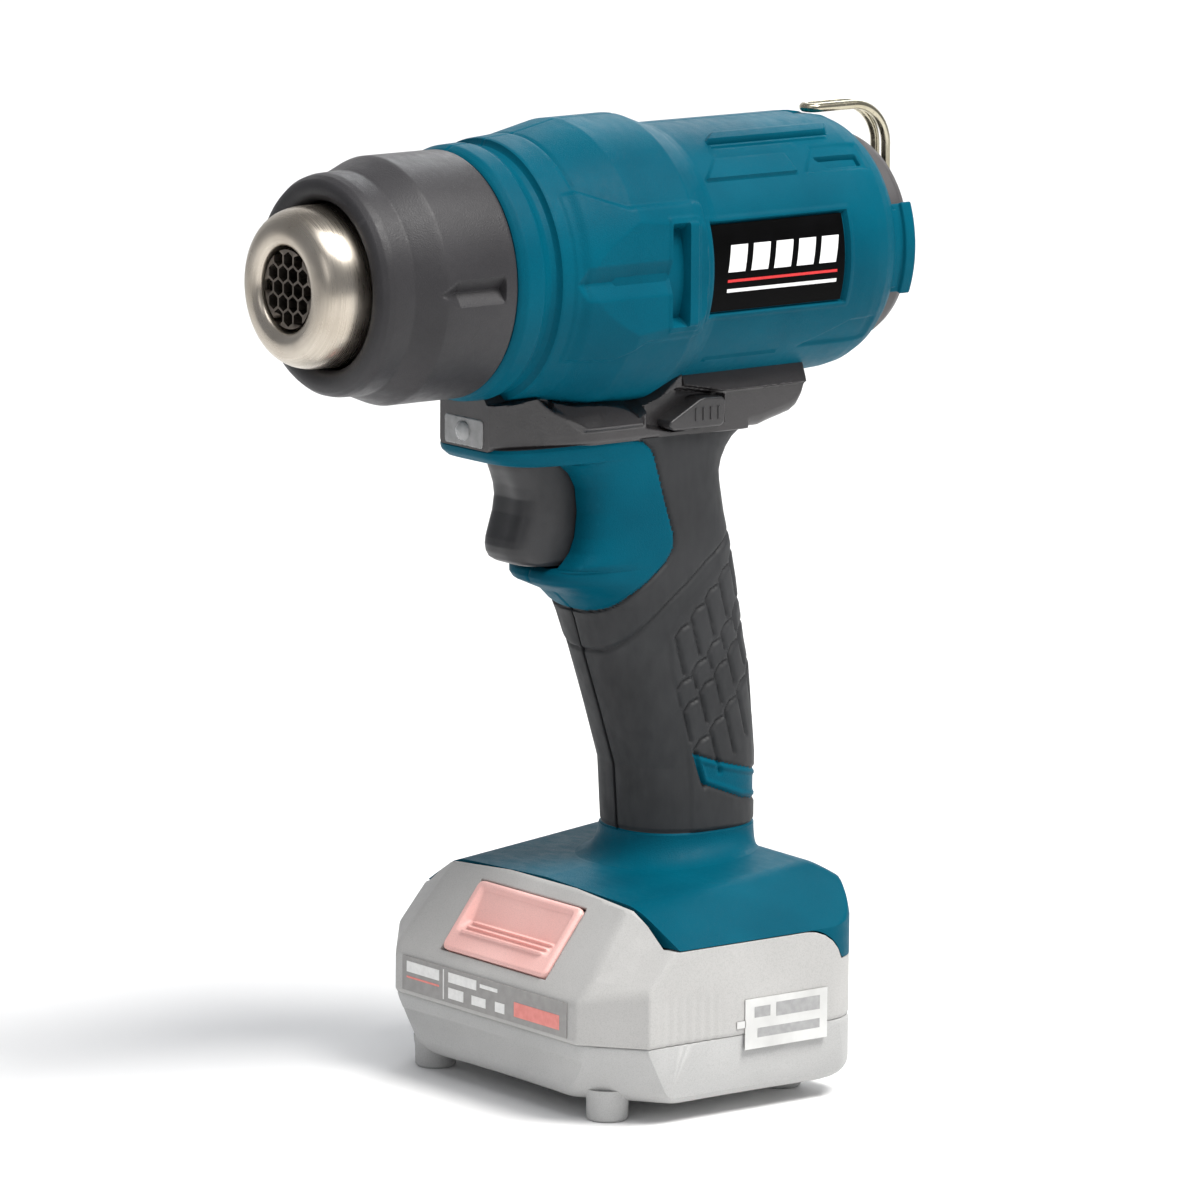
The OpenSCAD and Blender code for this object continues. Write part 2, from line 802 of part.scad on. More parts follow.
module pack_upper_shell() {
    color(pale) at_axis() difference() {
        union() {
            difference() {
                pack_upper_solid();
                intersection() {
                    translate([0, 0, -1]) side_slab([
                        [-94, -193], [-94, -178.5], [-86, -177.5], [-76, -169.8], [-40, -169.8],
                        [-33, -161.5], [-31.5, -161.4], [-16.4, -181], [-16.4, -193]
                    ], -51, 51);
                    front_slab([
                        [-51, -195], [-51, -170], [-37, -160.6], [37, -160.6], [51, -170], [51, -195]
                    ], foot_back - 1, pack_front + 1);
                    plan_outline(2.4, pack_front);
                    translate([-1.6, 0, -1.6]) front_corner_room();
                }
            }
            block([tongue_back + 2, -neck_half_w, tongue_low - 1], [-32, neck_half_w, -165.6]);
            block([tongue_back, -tongue_half_w, -165.4], [-32, tongue_half_w, tongue_top]);
            block([tongue_back, -neck_half_w, -166], [-32, neck_half_w, -165]);
            side_slab(LATCH_SEAT, -5, 5);
        }
        for (y = BLADES) {
            block([tongue_back - 1, y - 1.3, -166], [-60, y + 1.3, tongue_top + 1]);
        }
        on_slope() block([-latch_len / 2 - 0.4, -latch_half_w - 0.4, -6.6],
            [latch_len / 2 + 0.4, latch_half_w + 0.4, 4]);
    }
}

// Everything behind the planes that draw in the front corners of the pack's tray
module low_corner_room(inset) {
    difference() {
        block([-120, -60, -230], [0, 60, -140]);
        both_sides() {
            translate([-14, 38.4, -193]) rotate([0, 115.7, 38.5]) block([-60, -60, -inset], [60, 60, 60]);
        }
    }
}

module pack_lower_shell() {
    floor_t = 2.4;
    color([0.7, 0.7, 0.7]) at_axis() {
        difference() {
            intersection() {
                side_slab([
                    [foot_back + 0.5, seam_z], [foot_back + 1.5, pack_low + 2], [foot_back + 3, pack_low],
                    [pack_front - 5, pack_low], [pack_front - 3, pack_low + 2], [pack_front - 2.6, -197],
                    [pack_front - 0.6, -195.6], [pack_front - 0.4, seam_z]
                ], -pack_half_w, pack_half_w);
                front_slab([
                    [-pack_half_w + 0.4, seam_z + 1], [-pack_half_w + 1.6, pack_low + 2],
                    [-pack_half_w + 3.6, pack_low - 1], [pack_half_w - 3.6, pack_low - 1],
                    [pack_half_w - 1.6, pack_low + 2], [pack_half_w - 0.4, seam_z + 1]
                ], foot_back - 1, pack_front + 1);
                plan_outline(0, pack_front);
                low_corner_room(0);
            }
            intersection() {
                block([-93.6, -50.4, pack_low + floor_t], [-18.4, 50.4, seam_z + 1]);
                plan_outline(3.2, pack_front);
                low_corner_room(1.8);
            }
            pack_screw_holes();
        }
        for (p = FEET) {
            difference() {
                translate([p[0], p[1], -axis_z]) cylinder(h = 5.4, r = 5.25, $fn = 48);
                translate([p[0], p[1], -axis_z - 1]) cylinder(h = 10, r = 2.9, $fn = 32);
            }
        }
    }
}

FEET = [[-25.4, 36.6], [-25.4, -36.6], [-84, 33], [-84, -33]];

module pack_screw_holes() {
    for (p = FEET) {
        translate([p[0], p[1], -axis_z - 1]) cylinder(h = 20, r = 1.6, $fn = 32);
    }
}

module pack_screws() {
    color(steel) at_axis() for (p = FEET) {
        translate([p[0], p[1], 0]) difference() {
            union() {
                translate([0, 0, pack_low - 2.2]) cylinder(h = 2.2, r = 2.7, $fn = 32);
                translate([0, 0, pack_low - 0.2]) cylinder(h = 4.6, r = 1.5, $fn = 32);
            }
            translate([0, 0, pack_low - 3]) cylinder(h = 2, r = 1, $fn = 6);
        }
    }
}

module pack_cells() {
    spacing = 2 * cell_r + 0.6;
    color([0.2, 0.45, 0.7]) at_axis() for (i = [0 : cell_count - 1]) {
        translate([-89.5, (i - (cell_count - 1) / 2) * spacing, -191]) {
            rotate([0, 90, 0]) cylinder(h = cell_len, r = cell_r, $fn = 64);
            rotate([0, 90, 0]) translate([0, 0, cell_len]) cylinder(h = 0.8, r = 3, $fn = 32);
        }
    }
}

module cell_strips() {
    spacing = 2 * cell_r + 0.6;
    color([0.8, 0.8, 0.78]) at_axis() for (i = [0 : cell_count - 2]) {
        front = i % 2 == 0;
        x_low = front ? -89.5 + cell_len + 0.8 : -89.8;
        y_low = (i - (cell_count - 1) / 2) * spacing - 3.5;
        block([x_low, y_low, -194], [x_low + 0.3, y_low + spacing + 7, -188]);
    }
}

module pack_board() {
    color([0.1, 0.4, 0.2]) at_axis() {
        block([-80, -24, -178], [-42, 24, -176.4]);
        block([-60, -6, -176.4], [-50, 6, -174.4]);
    }
}

// Spring clips on each side of the blades
module pack_contacts() {
    color("gold") at_axis() for (y = BLADES) {
        for (side = [-1, 1]) {
            block([-78, y + side * 0.95 - 0.15, -165.9], [-66, y + side * 0.95 + 0.15, -162.8]);
        }
    }
}

module pack_label_front() {
    color([0.1, 0.1, 0.1]) at_axis() block([pack_front, -35, -191], [pack_front + 0.3, 35, -182]);
}

module pack_labels_side() {
    color([0.85, 0.85, 0.85]) at_axis() both_sides()
        block([-82.5, pack_half_w, -196.2], [-56, pack_half_w + 0.25, -183.2]);
}

module latch_button() {
    color([0.9, 0.72, 0.7]) at_axis() on_slope() {
        block([-latch_len / 2, -latch_half_w, -3], [latch_len / 2, latch_half_w, 0.4]);
        for (x = [1 : 2.4 : 6]) {
            block([x, -latch_half_w + 5, 0.3], [x + 1, latch_half_w - 5, 1.1]);
        }
    }
}

module latch_spring() {
    color(steel) at_axis() on_slope() rotate([0, -90, 0]) helix(3.2, 0.35, -8.9, -3.6, 4, 16);
}

housing_left();
housing_right();
grip_left();
grip_right();
nozzle_guard();
nozzle_tube();
outlet_honeycomb();
heat_shield();
mica_sleeve();
heater_core();
heater_coil();
heater_mount();
thermal_cutout();
air_duct();
fan_impeller();
fan_shaft();
motor_can();
motor_magnets();
motor_armature();
motor_end_cap();
motor_mount();
dust_screen();
rear_cap();
hook();
label_left();
label_right();
led_lens();
led_board();
trigger();
trigger_spring();
switch_module();
lock_button();
control_board();
power_leads();
terminal_block();
terminal_blades();
housing_screws();
pack_upper_shell();
pack_lower_shell();
pack_cells();
cell_strips();
pack_board();
pack_contacts();
pack_screws();
pack_label_front();
pack_labels_side();
latch_button();
latch_spring();
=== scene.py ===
"""Looks of the cordless heat gun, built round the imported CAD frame."""

import math

import bmesh
import bpy
import numpy as np
from mathutils import Matrix, Vector

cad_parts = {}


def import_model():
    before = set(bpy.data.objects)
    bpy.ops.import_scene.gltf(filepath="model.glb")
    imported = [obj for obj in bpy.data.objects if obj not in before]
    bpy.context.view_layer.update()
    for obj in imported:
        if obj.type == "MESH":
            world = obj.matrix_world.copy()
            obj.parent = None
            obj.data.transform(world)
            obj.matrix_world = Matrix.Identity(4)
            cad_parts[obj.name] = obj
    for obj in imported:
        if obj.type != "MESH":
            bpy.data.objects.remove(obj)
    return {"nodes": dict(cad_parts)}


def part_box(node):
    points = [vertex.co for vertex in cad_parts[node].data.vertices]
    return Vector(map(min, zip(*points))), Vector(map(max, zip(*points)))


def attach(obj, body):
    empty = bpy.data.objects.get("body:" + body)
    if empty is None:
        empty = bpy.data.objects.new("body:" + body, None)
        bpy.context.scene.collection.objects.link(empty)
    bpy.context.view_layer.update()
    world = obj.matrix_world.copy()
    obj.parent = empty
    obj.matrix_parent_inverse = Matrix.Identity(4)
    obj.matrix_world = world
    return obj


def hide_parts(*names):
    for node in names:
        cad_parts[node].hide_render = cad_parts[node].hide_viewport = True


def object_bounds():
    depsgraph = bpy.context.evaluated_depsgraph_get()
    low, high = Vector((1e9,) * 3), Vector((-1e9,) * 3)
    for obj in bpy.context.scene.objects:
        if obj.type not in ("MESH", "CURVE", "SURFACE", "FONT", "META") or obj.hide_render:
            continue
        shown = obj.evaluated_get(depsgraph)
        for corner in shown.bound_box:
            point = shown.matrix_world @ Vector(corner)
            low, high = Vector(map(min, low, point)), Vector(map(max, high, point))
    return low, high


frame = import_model()
cad_low, cad_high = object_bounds()

MM = 0.001
PER_MM = 1000.0

# The shapes below are in millimetres from the point where the barrel axis crosses the seam
# between guard and housing: x forward, y to the left, z up.
NOZZLE_TIP = 49.8
tube_low, tube_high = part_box("nozzle_tube")
ORIGIN = np.array([tube_high.x * PER_MM - NOZZLE_TIP, 0.0, (tube_low.z + tube_high.z) / 2 * PER_MM])


def world(points):
    """Points in millimetres about the seam, as metres in the frame."""
    return (np.asarray(points, float) + ORIGIN) * MM


# ---------------------------------------------------------------- camera and lights

CAMERA_AZIMUTH = math.radians(52.62)
CAMERA_HEIGHT = math.radians(10.24)
CAMERA_ROLL = math.radians(0.42)
CAMERA_DISTANCE = 2247.3
CAMERA_RIGHT = 39.05
CAMERA_DOWN = 81.43
LENS = 270


def new_object(name, data):
    made = bpy.data.objects.new(name, data)
    bpy.context.scene.collection.objects.link(made)
    return made


def camera_axes():
    back = Vector((
        math.cos(CAMERA_AZIMUTH) * math.cos(CAMERA_HEIGHT),
        math.sin(CAMERA_AZIMUTH) * math.cos(CAMERA_HEIGHT),
        math.sin(CAMERA_HEIGHT),
    ))
    side = Vector((-math.sin(CAMERA_AZIMUTH), math.cos(CAMERA_AZIMUTH), 0))
    up = back.cross(side)
    right = math.cos(CAMERA_ROLL) * side + math.sin(CAMERA_ROLL) * up
    return right, -math.sin(CAMERA_ROLL) * side + math.cos(CAMERA_ROLL) * up, back


def add_camera():
    right, up, back = camera_axes()
    place = back * CAMERA_DISTANCE + right * CAMERA_RIGHT - up * CAMERA_DOWN
    data = bpy.data.cameras.new("camera")
    data.lens = LENS
    data.sensor_width = 36
    data.clip_start = 0.1
    data.clip_end = 20
    camera = new_object("camera", data)
    turn = Matrix((right, up, back)).transposed().to_4x4()
    camera.matrix_world = Matrix.Translation(Vector(world(place))) @ turn
    bpy.context.scene.camera = camera


def add_light(name, direction, distance, size, power, colour):
    target = (cad_low + cad_high) / 2
    data = bpy.data.lights.new(name, "AREA")
    data.shape = "DISK"
    data.size = size
    data.energy = power
    data.color = colour
    light = new_object(name, data)
    way = Vector(direction).normalized()
    light.location = target + way * distance
    light.rotation_mode = "QUATERNION"
    light.rotation_quaternion = way.to_track_quat("Z", "Y")


def add_world():
    scene_world = bpy.data.worlds.new("studio")
    scene_world.use_nodes = True
    shade = scene_world.node_tree.nodes["Background"]
    shade.inputs["Color"].default_value = (0.93, 0.95, 1.0, 1)
    shade.inputs["Strength"].default_value = 0.33
    bpy.context.scene.world = scene_world
    bpy.context.scene.view_settings.view_transform = "Standard"


add_camera()
add_world()
add_light("key", (-0.25, 0.5, 0.95), 2.4, 1.2, 74, (1, 0.985, 0.96))
add_light("top", (0.2, 0.35, 1.0), 1.9, 1.2, 12, (1, 1, 1))
add_light("front_fill", (0.9, 0.5, 0.5), 2.4, 1.2, 3, (1, 0.99, 0.98))
add_light("rim", (-0.8, -0.7, 0.6), 1.6, 0.7, 5, (0.95, 0.98, 1))

# ---------------------------------------------------------------- materials


class Shade:
    """A node material whose pattern is laid out in millimetres."""

    def __init__(self, name, rough, metal=0.0, more=None):
        self.material = bpy.data.materials.new(name)
        self.material.use_nodes = True
        self.tree = self.material.node_tree
        self.shader = self.tree.nodes["Principled BSDF"]
        for key, number in {"Metallic": metal, "Roughness": rough, **(more or {})}.items():
            self.shader.inputs[key].default_value = number
        place = self.node("TexCoord", "Object", {})
        self.place = self.node("VectorMath", "Vector", {0: place, "Scale": PER_MM}, operation="SCALE")

    def link(self, source, target):
        self.tree.links.new(source, target)

    def node(self, kind, output, inputs, **settings):
        """One output of a new node. An input is a number, a tuple or another node's output."""
        node = self.tree.nodes.new("ShaderNode" + kind)
        for key, value in settings.items():
            setattr(node, key, value)
        for key, source in inputs.items():
            if isinstance(source, (int, float, tuple)):
                node.inputs[key].default_value = source
            else:
                self.link(source, node.inputs[key])
        return node.outputs[output]

    def math(self, operation, a, b=0.0, clamp=False):
        return self.node("Math", 0, {0: a, 1: b}, operation=operation, use_clamp=clamp)

    def stretch(self, vector, factors):
        return self.node("VectorMath", "Vector", {0: vector, 1: factors}, operation="MULTIPLY")

    def noise(self, per_mm, detail=2.0, vector=None, rough=0.5):
        inputs = {"Scale": per_mm, "Detail": detail, "Roughness": rough, "Vector": vector or self.place}
        return self.node("TexNoise", "Fac", inputs)

    def cells(self, per_mm):
        return self.node("TexVoronoi", "Distance", {"Scale": per_mm, "Vector": self.place})

    def spread(self, source, low=0.3, high=0.7, to_low=0.0, to_high=1.0):
        inputs = {"Value": source, "From Min": low, "From Max": high, "To Min": to_low, "To Max": to_high}
        return self.node("MapRange", "Result", inputs)

    def mix(self, factor, a, b, mode="MIX"):
        inputs = {"Factor": factor, "A": a, "B": b}
        return self.node("Mix", "Result", inputs, data_type="RGBA", blend_type=mode)

    def edges(self, low, high):
        """How far a place stands out as a convex edge, from 0 to 1."""
        return self.spread(self.node("NewGeometry", "Pointiness", {}), low, high)

    def bump(self, height, strength, depth_mm):
        inputs = {"Strength": strength, "Distance": depth_mm * MM, "Height": height}
        self.link(self.node("Bump", "Normal", inputs), self.shader.inputs["Normal"])

    def finish(self, colour, rough=None):
        self.link(colour, self.shader.inputs["Base Color"])
        if rough is not None:
            self.link(rough, self.shader.inputs["Roughness"])
        return self.material


def rgb(red, green, blue):
    """A screen colour from 0 to 255, as linear light with full cover."""
    parts = [c / 255 for c in (red, green, blue)]
    return tuple(c / 12.92 if c <= 0.04045 else ((c + 0.055) / 1.055) ** 2.4 for c in parts) + (1.0,)


def moulded(name, dark, light, rough, grain_per_mm=2.6, depth=0.05, strength=0.5, level=0.5, edge_highlight=0.25):
    """Injection moulded plastic with a spark-eroded grain."""
    s = Shade(name, rough, more={"Specular IOR Level": level})
    cloud = s.spread(s.noise(0.035, 3.0))
    grain = s.cells(grain_per_mm)
    fine = s.noise(grain_per_mm * 1.7, 3.0, rough=0.65)
    height = s.math("ADD", s.math("MULTIPLY", grain, 0.7), fine)
    colour = s.mix(cloud, dark, light)
    speck = s.spread(fine, 0.35, 0.7, 0.86, 1.12)
    tinted = s.mix(1.0, colour, s.mix(speck, (0, 0, 0, 1), (1, 1, 1, 1)), "MULTIPLY")
    # painted highlight: convex edges lightened in noisy patches
    edge_highlight_mask = s.math("MULTIPLY", s.edges(0.53, 0.62), s.spread(s.noise(0.25, 3.0), 0.4, 0.65, 0.0, edge_highlight), True)
    final = s.mix(edge_highlight_mask, tinted, tuple(min(1.0, c * 1.6 + 0.02) for c in light[:3]) + (1.0,))
    marks = s.noise(0.5, 4.0, s.stretch(s.place, (1.0, 0.35, 1.0)))
    roughness = s.math(
        "ADD", s.spread(marks, 0.3, 0.7, rough - 0.05, rough + 0.07), s.math("MULTIPLY", fine, 0.06)
    )
    s.bump(height, strength, depth)
    return s.finish(final, roughness)


def rubber(name, dark, light, rough=0.62):
    """Soft overmould: finer and duller, with painted shade darkening its low places."""
    s = Shade(name, rough, more={"Specular IOR Level": 0.42})
    cloud = s.spread(s.noise(0.05, 4.0))
    fine = s.noise(6.0, 3.0, rough=0.7)
    colour = s.mix(cloud, dark, light)
    # painted shade: concave low places darkened towards black
    low = s.math("SUBTRACT", 1.0, s.edges(0.42, 0.5), True)
    deep = s.mix(s.math("MULTIPLY", low, 0.55), colour, (0.006, 0.006, 0.007, 1))
    marks = s.noise(0.4, 5.0, s.stretch(s.place, (1.0, 1.0, 0.4)))
    s.bump(s.math("ADD", fine, s.math("MULTIPLY", marks, 0.6)), 0.4, 0.035)
    return s.finish(deep, s.spread(marks, 0.3, 0.7, rough - 0.07, rough + 0.08))


def turned_metal(name, dark, light, rough, along=(3.0, 0.06, 0.06), scratch=0.12, aniso=0.35):
    """Metal with fine marks that run round or along it, and soft heat or handling stains."""
    s = Shade(name, rough, 1.0, {"Anisotropic": aniso})
    lines = s.noise(1.0, 4.0, s.stretch(s.place, along), 0.6)
    stain = s.noise(0.06, 4.0)
    colour = s.mix(s.spread(stain, 0.3, 0.72), dark, light)
    lined = s.mix(s.spread(lines, 0.3, 0.75, 0.0, 0.28), colour, tuple(c * 0.55 for c in dark[:3]) + (1.0,))
    s.bump(lines, scratch, 0.02)
    roughness = s.math(
        "ADD", s.spread(lines, 0.3, 0.7, rough - 0.06, rough + 0.08), s.spread(stain, 0.3, 0.7, -0.02, 0.05)
    )
    return s.finish(lined, roughness)


def clear(name, tint, rough=0.08, transmission=0.85):
    s = Shade(name, rough, more={"IOR": 1.49, "Transmission Weight": transmission})
    cloud = s.noise(0.4, 4.0)
    s.bump(s.noise(1.2, 2.0), 0.15, 0.03)
    colour = s.mix(s.spread(cloud, 0.35, 0.7), tint, tuple(c * 0.8 for c in tint[:3]) + (1.0,))
    return s.finish(colour, s.spread(cloud, 0.3, 0.7, rough, rough + 0.1))


def glazed(name, dark, light, rough, per_mm=0.6, coat=0.0, level=0.5):
    """Printed, lacquered or ceramic faces."""
    s = Shade(name, rough, more={"Specular IOR Level": level, "Coat Weight": coat, "Coat Roughness": 0.12})
    cloud = s.noise(per_mm, 5.0)
    dust = s.noise(per_mm * 12, 2.0)
    colour = s.mix(s.spread(cloud, 0.35, 0.68), dark, light)
    s.bump(dust, 0.2, 0.015)
    base = s.spread(cloud, 0.3, 0.7, rough - 0.04, rough + 0.06)
    return s.finish(colour, s.math("ADD", base, s.math("MULTIPLY", dust, 0.05)))


def lacquered_board(name):
    s = Shade(name, 0.35)
    tracks = s.cells(0.35)
    colour = s.mix(s.spread(tracks, 0.4, 0.46), rgb(14, 74, 44), rgb(30, 104, 62))
    s.bump(tracks, 0.3, 0.05)
    return s.finish(colour, s.spread(s.noise(0.8, 3.0), 0.3, 0.7, 0.28, 0.42))


# Marks that run in no direction
EVEN = (1.0, 1.0, 1.0)

# Kind of surface, darker and lighter screen colour, then the kind's own numbers
SURFACES = {
    "teal_shell": (moulded, (0, 74, 93), (0, 86, 106), 0.42, 2.4, 0.08, 0.6, 0.05, 0.12),
    "grip_rubber": (rubber, (30, 31, 33), (42, 43, 45)),
    "guard_plastic": (moulded, (46, 45, 47), (57, 56, 58), 0.4, 2.2, 0.08, 0.55, 0.25),
    "trim_plastic": (moulded, (38, 36, 37), (52, 49, 50), 0.3, 1.2, 0.06, 0.35, 0.7, 0.0),
    "nozzle_steel": (turned_metal, (176, 166, 152), (206, 198, 186), 0.27),
    "sieve_steel": (turned_metal, (92, 86, 80), (122, 114, 106), 0.4, EVEN),
    "shield_steel": (turned_metal, (168, 138, 96), (196, 172, 132), 0.3),
    "mica": (glazed, (176, 158, 116), (206, 190, 150), 0.4),
    "ceramic_former": (glazed, (206, 200, 186), (226, 220, 208), 0.6),
    "resistance_wire": (turned_metal, (120, 96, 84), (150, 128, 116), 0.45, EVEN),
    "cutout_case": (glazed, (40, 36, 34), (58, 52, 50), 0.4),
    "duct_plastic": (moulded, (44, 44, 46), (56, 56, 58), 0.5),
    "fan_plastic": (moulded, (34, 34, 36), (48, 48, 50), 0.45),
    "shaft_steel": (turned_metal, (150, 150, 152), (190, 190, 192), 0.2),
    "motor_steel": (turned_metal, (140, 142, 146), (170, 172, 176), 0.32),
    "magnet_ceramic": (glazed, (40, 40, 42), (58, 58, 60), 0.55),
    "armature_copper": (turned_metal, (150, 84, 50), (190, 116, 72), 0.35, (0.2, 2.2, 2.2)),
    "black_plastic": (moulded, (30, 30, 32), (42, 42, 44), 0.45),
    "cap_plastic": (moulded, (58, 56, 57), (70, 67, 68), 0.45),
    "hook_wire": (turned_metal, (172, 164, 140), (206, 200, 180), 0.2, (1.4, 1.4, 0.5)),
    "label_face": (glazed, (1, 1, 1), (3, 3, 4), 0.5, 0.15, 0.0, 0.05),
    "trigger_plastic": (moulded, (36, 36, 38), (46, 46, 48), 0.38, 2.8, 0.04, 0.4),
    "spring_steel": (turned_metal, (150, 150, 152), (186, 186, 188), 0.25, EVEN),
    "lock_plastic": (moulded, (44, 43, 44), (58, 56, 57), 0.34, 1.4, 0.06, 0.4, 0.6, 0.0),
    "lead_insulation": (glazed, (120, 24, 20), (150, 34, 28), 0.45),
    "contact_brass": (turned_metal, (176, 146, 80), (208, 180, 112), 0.25, EVEN),
    "screw_steel": (turned_metal, (90, 90, 94), (130, 130, 134), 0.3, EVEN),
    "pack_plastic": (moulded, (176, 175, 173), (186, 185, 183), 0.5, 2.0, 0.04, 0.35, 0.4, 0.1),
    "pack_lower_plastic": (moulded, (174, 174, 173), (184, 184, 183), 0.5, 2.0, 0.04, 0.35, 0.4, 0.1),
    "cell_case": (glazed, (24, 92, 70), (30, 110, 84), 0.35),
    "nickel_strip": (turned_metal, (170, 168, 160), (200, 198, 190), 0.3, EVEN),
    "pack_label": (glazed, (142, 140, 138), (154, 152, 150), 0.4, 0.4, 0.2),
    "silver_label": (turned_metal, (214, 214, 212), (240, 240, 238), 0.38, (0.1, 0.1, 0.06), 0.15, 0.1),
    "latch_plastic": (moulded, (238, 184, 177), (245, 198, 191), 0.4, 2.4, 0.03, 0.3, 0.5, 0.1),
    "print_white": (glazed, (232, 232, 232), (246, 246, 246), 0.4),
    "print_red": (glazed, (200, 24, 28), (216, 34, 36), 0.4),
    "print_pale": (glazed, (226, 226, 224), (238, 238, 236), 0.4),
    "print_rose": (glazed, (226, 132, 124), (236, 146, 138), 0.4),
    "label_ink": (glazed, (150, 150, 150), (164, 164, 164), 0.4),
}
MATERIALS = {
    name: kind(name, rgb(*dark), rgb(*light), *numbers)
    for name, (kind, dark, light, *numbers) in SURFACES.items()
}
MATERIALS["clear_lens"] = clear("clear_lens", (0.93, 0.94, 0.94, 1), 0.12, 0.7)
MATERIALS["circuit_board"] = lacquered_board("circuit_board")

# ---------------------------------------------------------------- mesh tools


def place_object(name, mesh, material, body, smooth_angle=35.0, replaced=()):
    """Links a mesh object with its look, body, material slot and the CAD nodes it replaces."""
    mesh.materials.append(MATERIALS[material])
    mesh.shade_smooth()
    mesh.set_sharp_from_angle(angle=math.radians(smooth_angle))
    piece = new_object(name, mesh)
    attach(piece, body)
    if replaced:
        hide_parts(*replaced)
    return piece


def tidy_normals(mesh):
    edit = bmesh.new()
    edit.from_mesh(mesh)
    bmesh.ops.remove_doubles(edit, verts=edit.verts, dist=1e-7)
    bmesh.ops.recalc_face_normals(edit, faces=edit.faces)
    edit.to_mesh(mesh)
    edit.free()


def mesh_from(name, points, faces):
    mesh = bpy.data.meshes.new(name)
    mesh.from_pydata(world(points).tolist(), [], [list(f) for f in faces])
    tidy_normals(mesh)
    return mesh


def grid_faces(rows, columns, close_rows=False, close_columns=True):
    """Quads of a grid of points laid out row by row."""
    row_count = rows if close_rows else rows - 1
    column_count = columns if close_columns else columns - 1
    r = np.repeat(np.arange(row_count), column_count)
    c = np.tile(np.arange(column_count), row_count)
    r2 = (r + 1) % rows
    c2 = (c + 1) % columns
    return np.stack([r * columns + c, r * columns + c2, r2 * columns + c2, r2 * columns + c], 1)


def skin(name, grid, close_rows=False, keep=None, caps=()):
    """Mesh of a rows x columns x 3 grid. keep picks faces, caps closes the rows with these numbers."""
    rows, columns = grid.shape[:2]
    faces = grid_faces(rows, columns, close_rows)
    if keep is not None:
        faces = faces[keep]
    listed = faces.tolist()
    for row in caps:
        listed.append([row % rows * columns + c for c in range(columns)])
    return mesh_from(name, grid.reshape(-1, 3), listed)


def circle(sides):
    """Evenly spaced angles once round."""
    return np.linspace(0, 2 * math.pi, sides, endpoint=False)


def revolve(name, profile, sides):
    """Closed ring of (radius, x) points turned about the barrel axis."""
    turn = circle(sides)
    points = np.asarray(profile, float)
    grid = np.empty((len(points), sides, 3))
    grid[:, :, 0] = points[:, 1:2]
    grid[:, :, 1] = points[:, :1] * np.cos(turn)
    grid[:, :, 2] = points[:, :1] * np.sin(turn)
    return skin(name, grid, close_rows=True)


def prism(name, outline, axis, low, high):
    """Outline of 2-D points, extruded along the axis numbered 0, 1 or 2 from low to high."""
    points = []
    for level in (low, high):
        for a, b in outline:
            corner = [a, b]
            corner.insert(axis, level)
            points.append(corner)
    count = len(outline)
    faces = [[i, (i + 1) % count, count + (i + 1) % count, count + i] for i in range(count)]
    faces.append(list(range(count)))
    faces.append(list(range(count, 2 * count)))
    return mesh_from(name, points, faces)


def bevel(piece, width, segments=3, angle=30.0, weld=False):
    """Rounds a piece's edges."""
    if weld:
        piece.modifiers.new("weld", "WELD").merge_threshold = 1e-6
    step = piece.modifiers.new("bevel", "BEVEL")
    step.width = width * MM
    step.segments = segments
    step.limit_method = "ANGLE"
    step.angle_limit = math.radians(angle)
    piece.modifiers.new("weighted", "WEIGHTED_NORMAL")


def cut(mesh, cutters, operation="DIFFERENCE"):
    """The mesh with each cutter mesh taken out of it."""
    base = new_object("base", mesh)
    tools = [new_object("cutter", cutter) for cutter in cutters]
    for tool in tools:
        step = base.modifiers.new("cut", "BOOLEAN")
        step.operation = operation
        step.solver = "EXACT"
        step.object = tool
    bpy.context.view_layer.update()
    result = bpy.data.meshes.new_from_object(base.evaluated_get(bpy.context.evaluated_depsgraph_get()))
    for used in [base, *tools]:
        bpy.data.objects.remove(used)
    return result


def ramp(value, low, high):
    """Smooth step from 0 at low to 1 at high."""
    t = np.clip((value - low) / (high - low), 0, 1)
    return t * t * (3 - 2 * t)


def band(value, low, high, soft):
    """1 between low and high, with soft edges."""
    half = soft / 2
    return ramp(value, low - half, low + half) * (1 - ramp(value, high - half, high + half))


def line_distance(x, z, path):
    """Distance from each point to a path of (x, z) points."""
    best = np.full(np.shape(x), 1e9)
    for (x0, z0), (x1, z1) in zip(path[:-1], path[1:]):
        dx, dz = x1 - x0, z1 - z0
        t = np.clip(((x - x0) * dx + (z - z0) * dz) / (dx * dx + dz * dz), 0, 1)
        best = np.minimum(best, np.hypot(x - x0 - t * dx, z - z0 - t * dz))
    return best


def inside(x, z, outline):
    """True where a point is inside a closed outline."""
    odd = np.zeros(np.shape(x), bool)
    for (x0, z0), (x1, z1) in zip(outline, outline[1:] + outline[:1]):
        if z0 == z1:
            continue
        crosses = ((z0 > z) != (z1 > z)) & (x < (x1 - x0) * (z - z0) / (z1 - z0) + x0)
        odd ^= crosses
    return odd


def depth_in(x, z, outline):
    """Distance to a closed outline, above 0 inside it."""
    away = line_distance(x, z, outline + outline[:1])
    return np.where(inside(x, z, outline), away, -away)


def groove(x, z, path, width, depth):
    return -depth * np.exp(-((line_distance(x, z, path) / (width / 2)) ** 2))


# ---------------------------------------------------------------- barrel housing

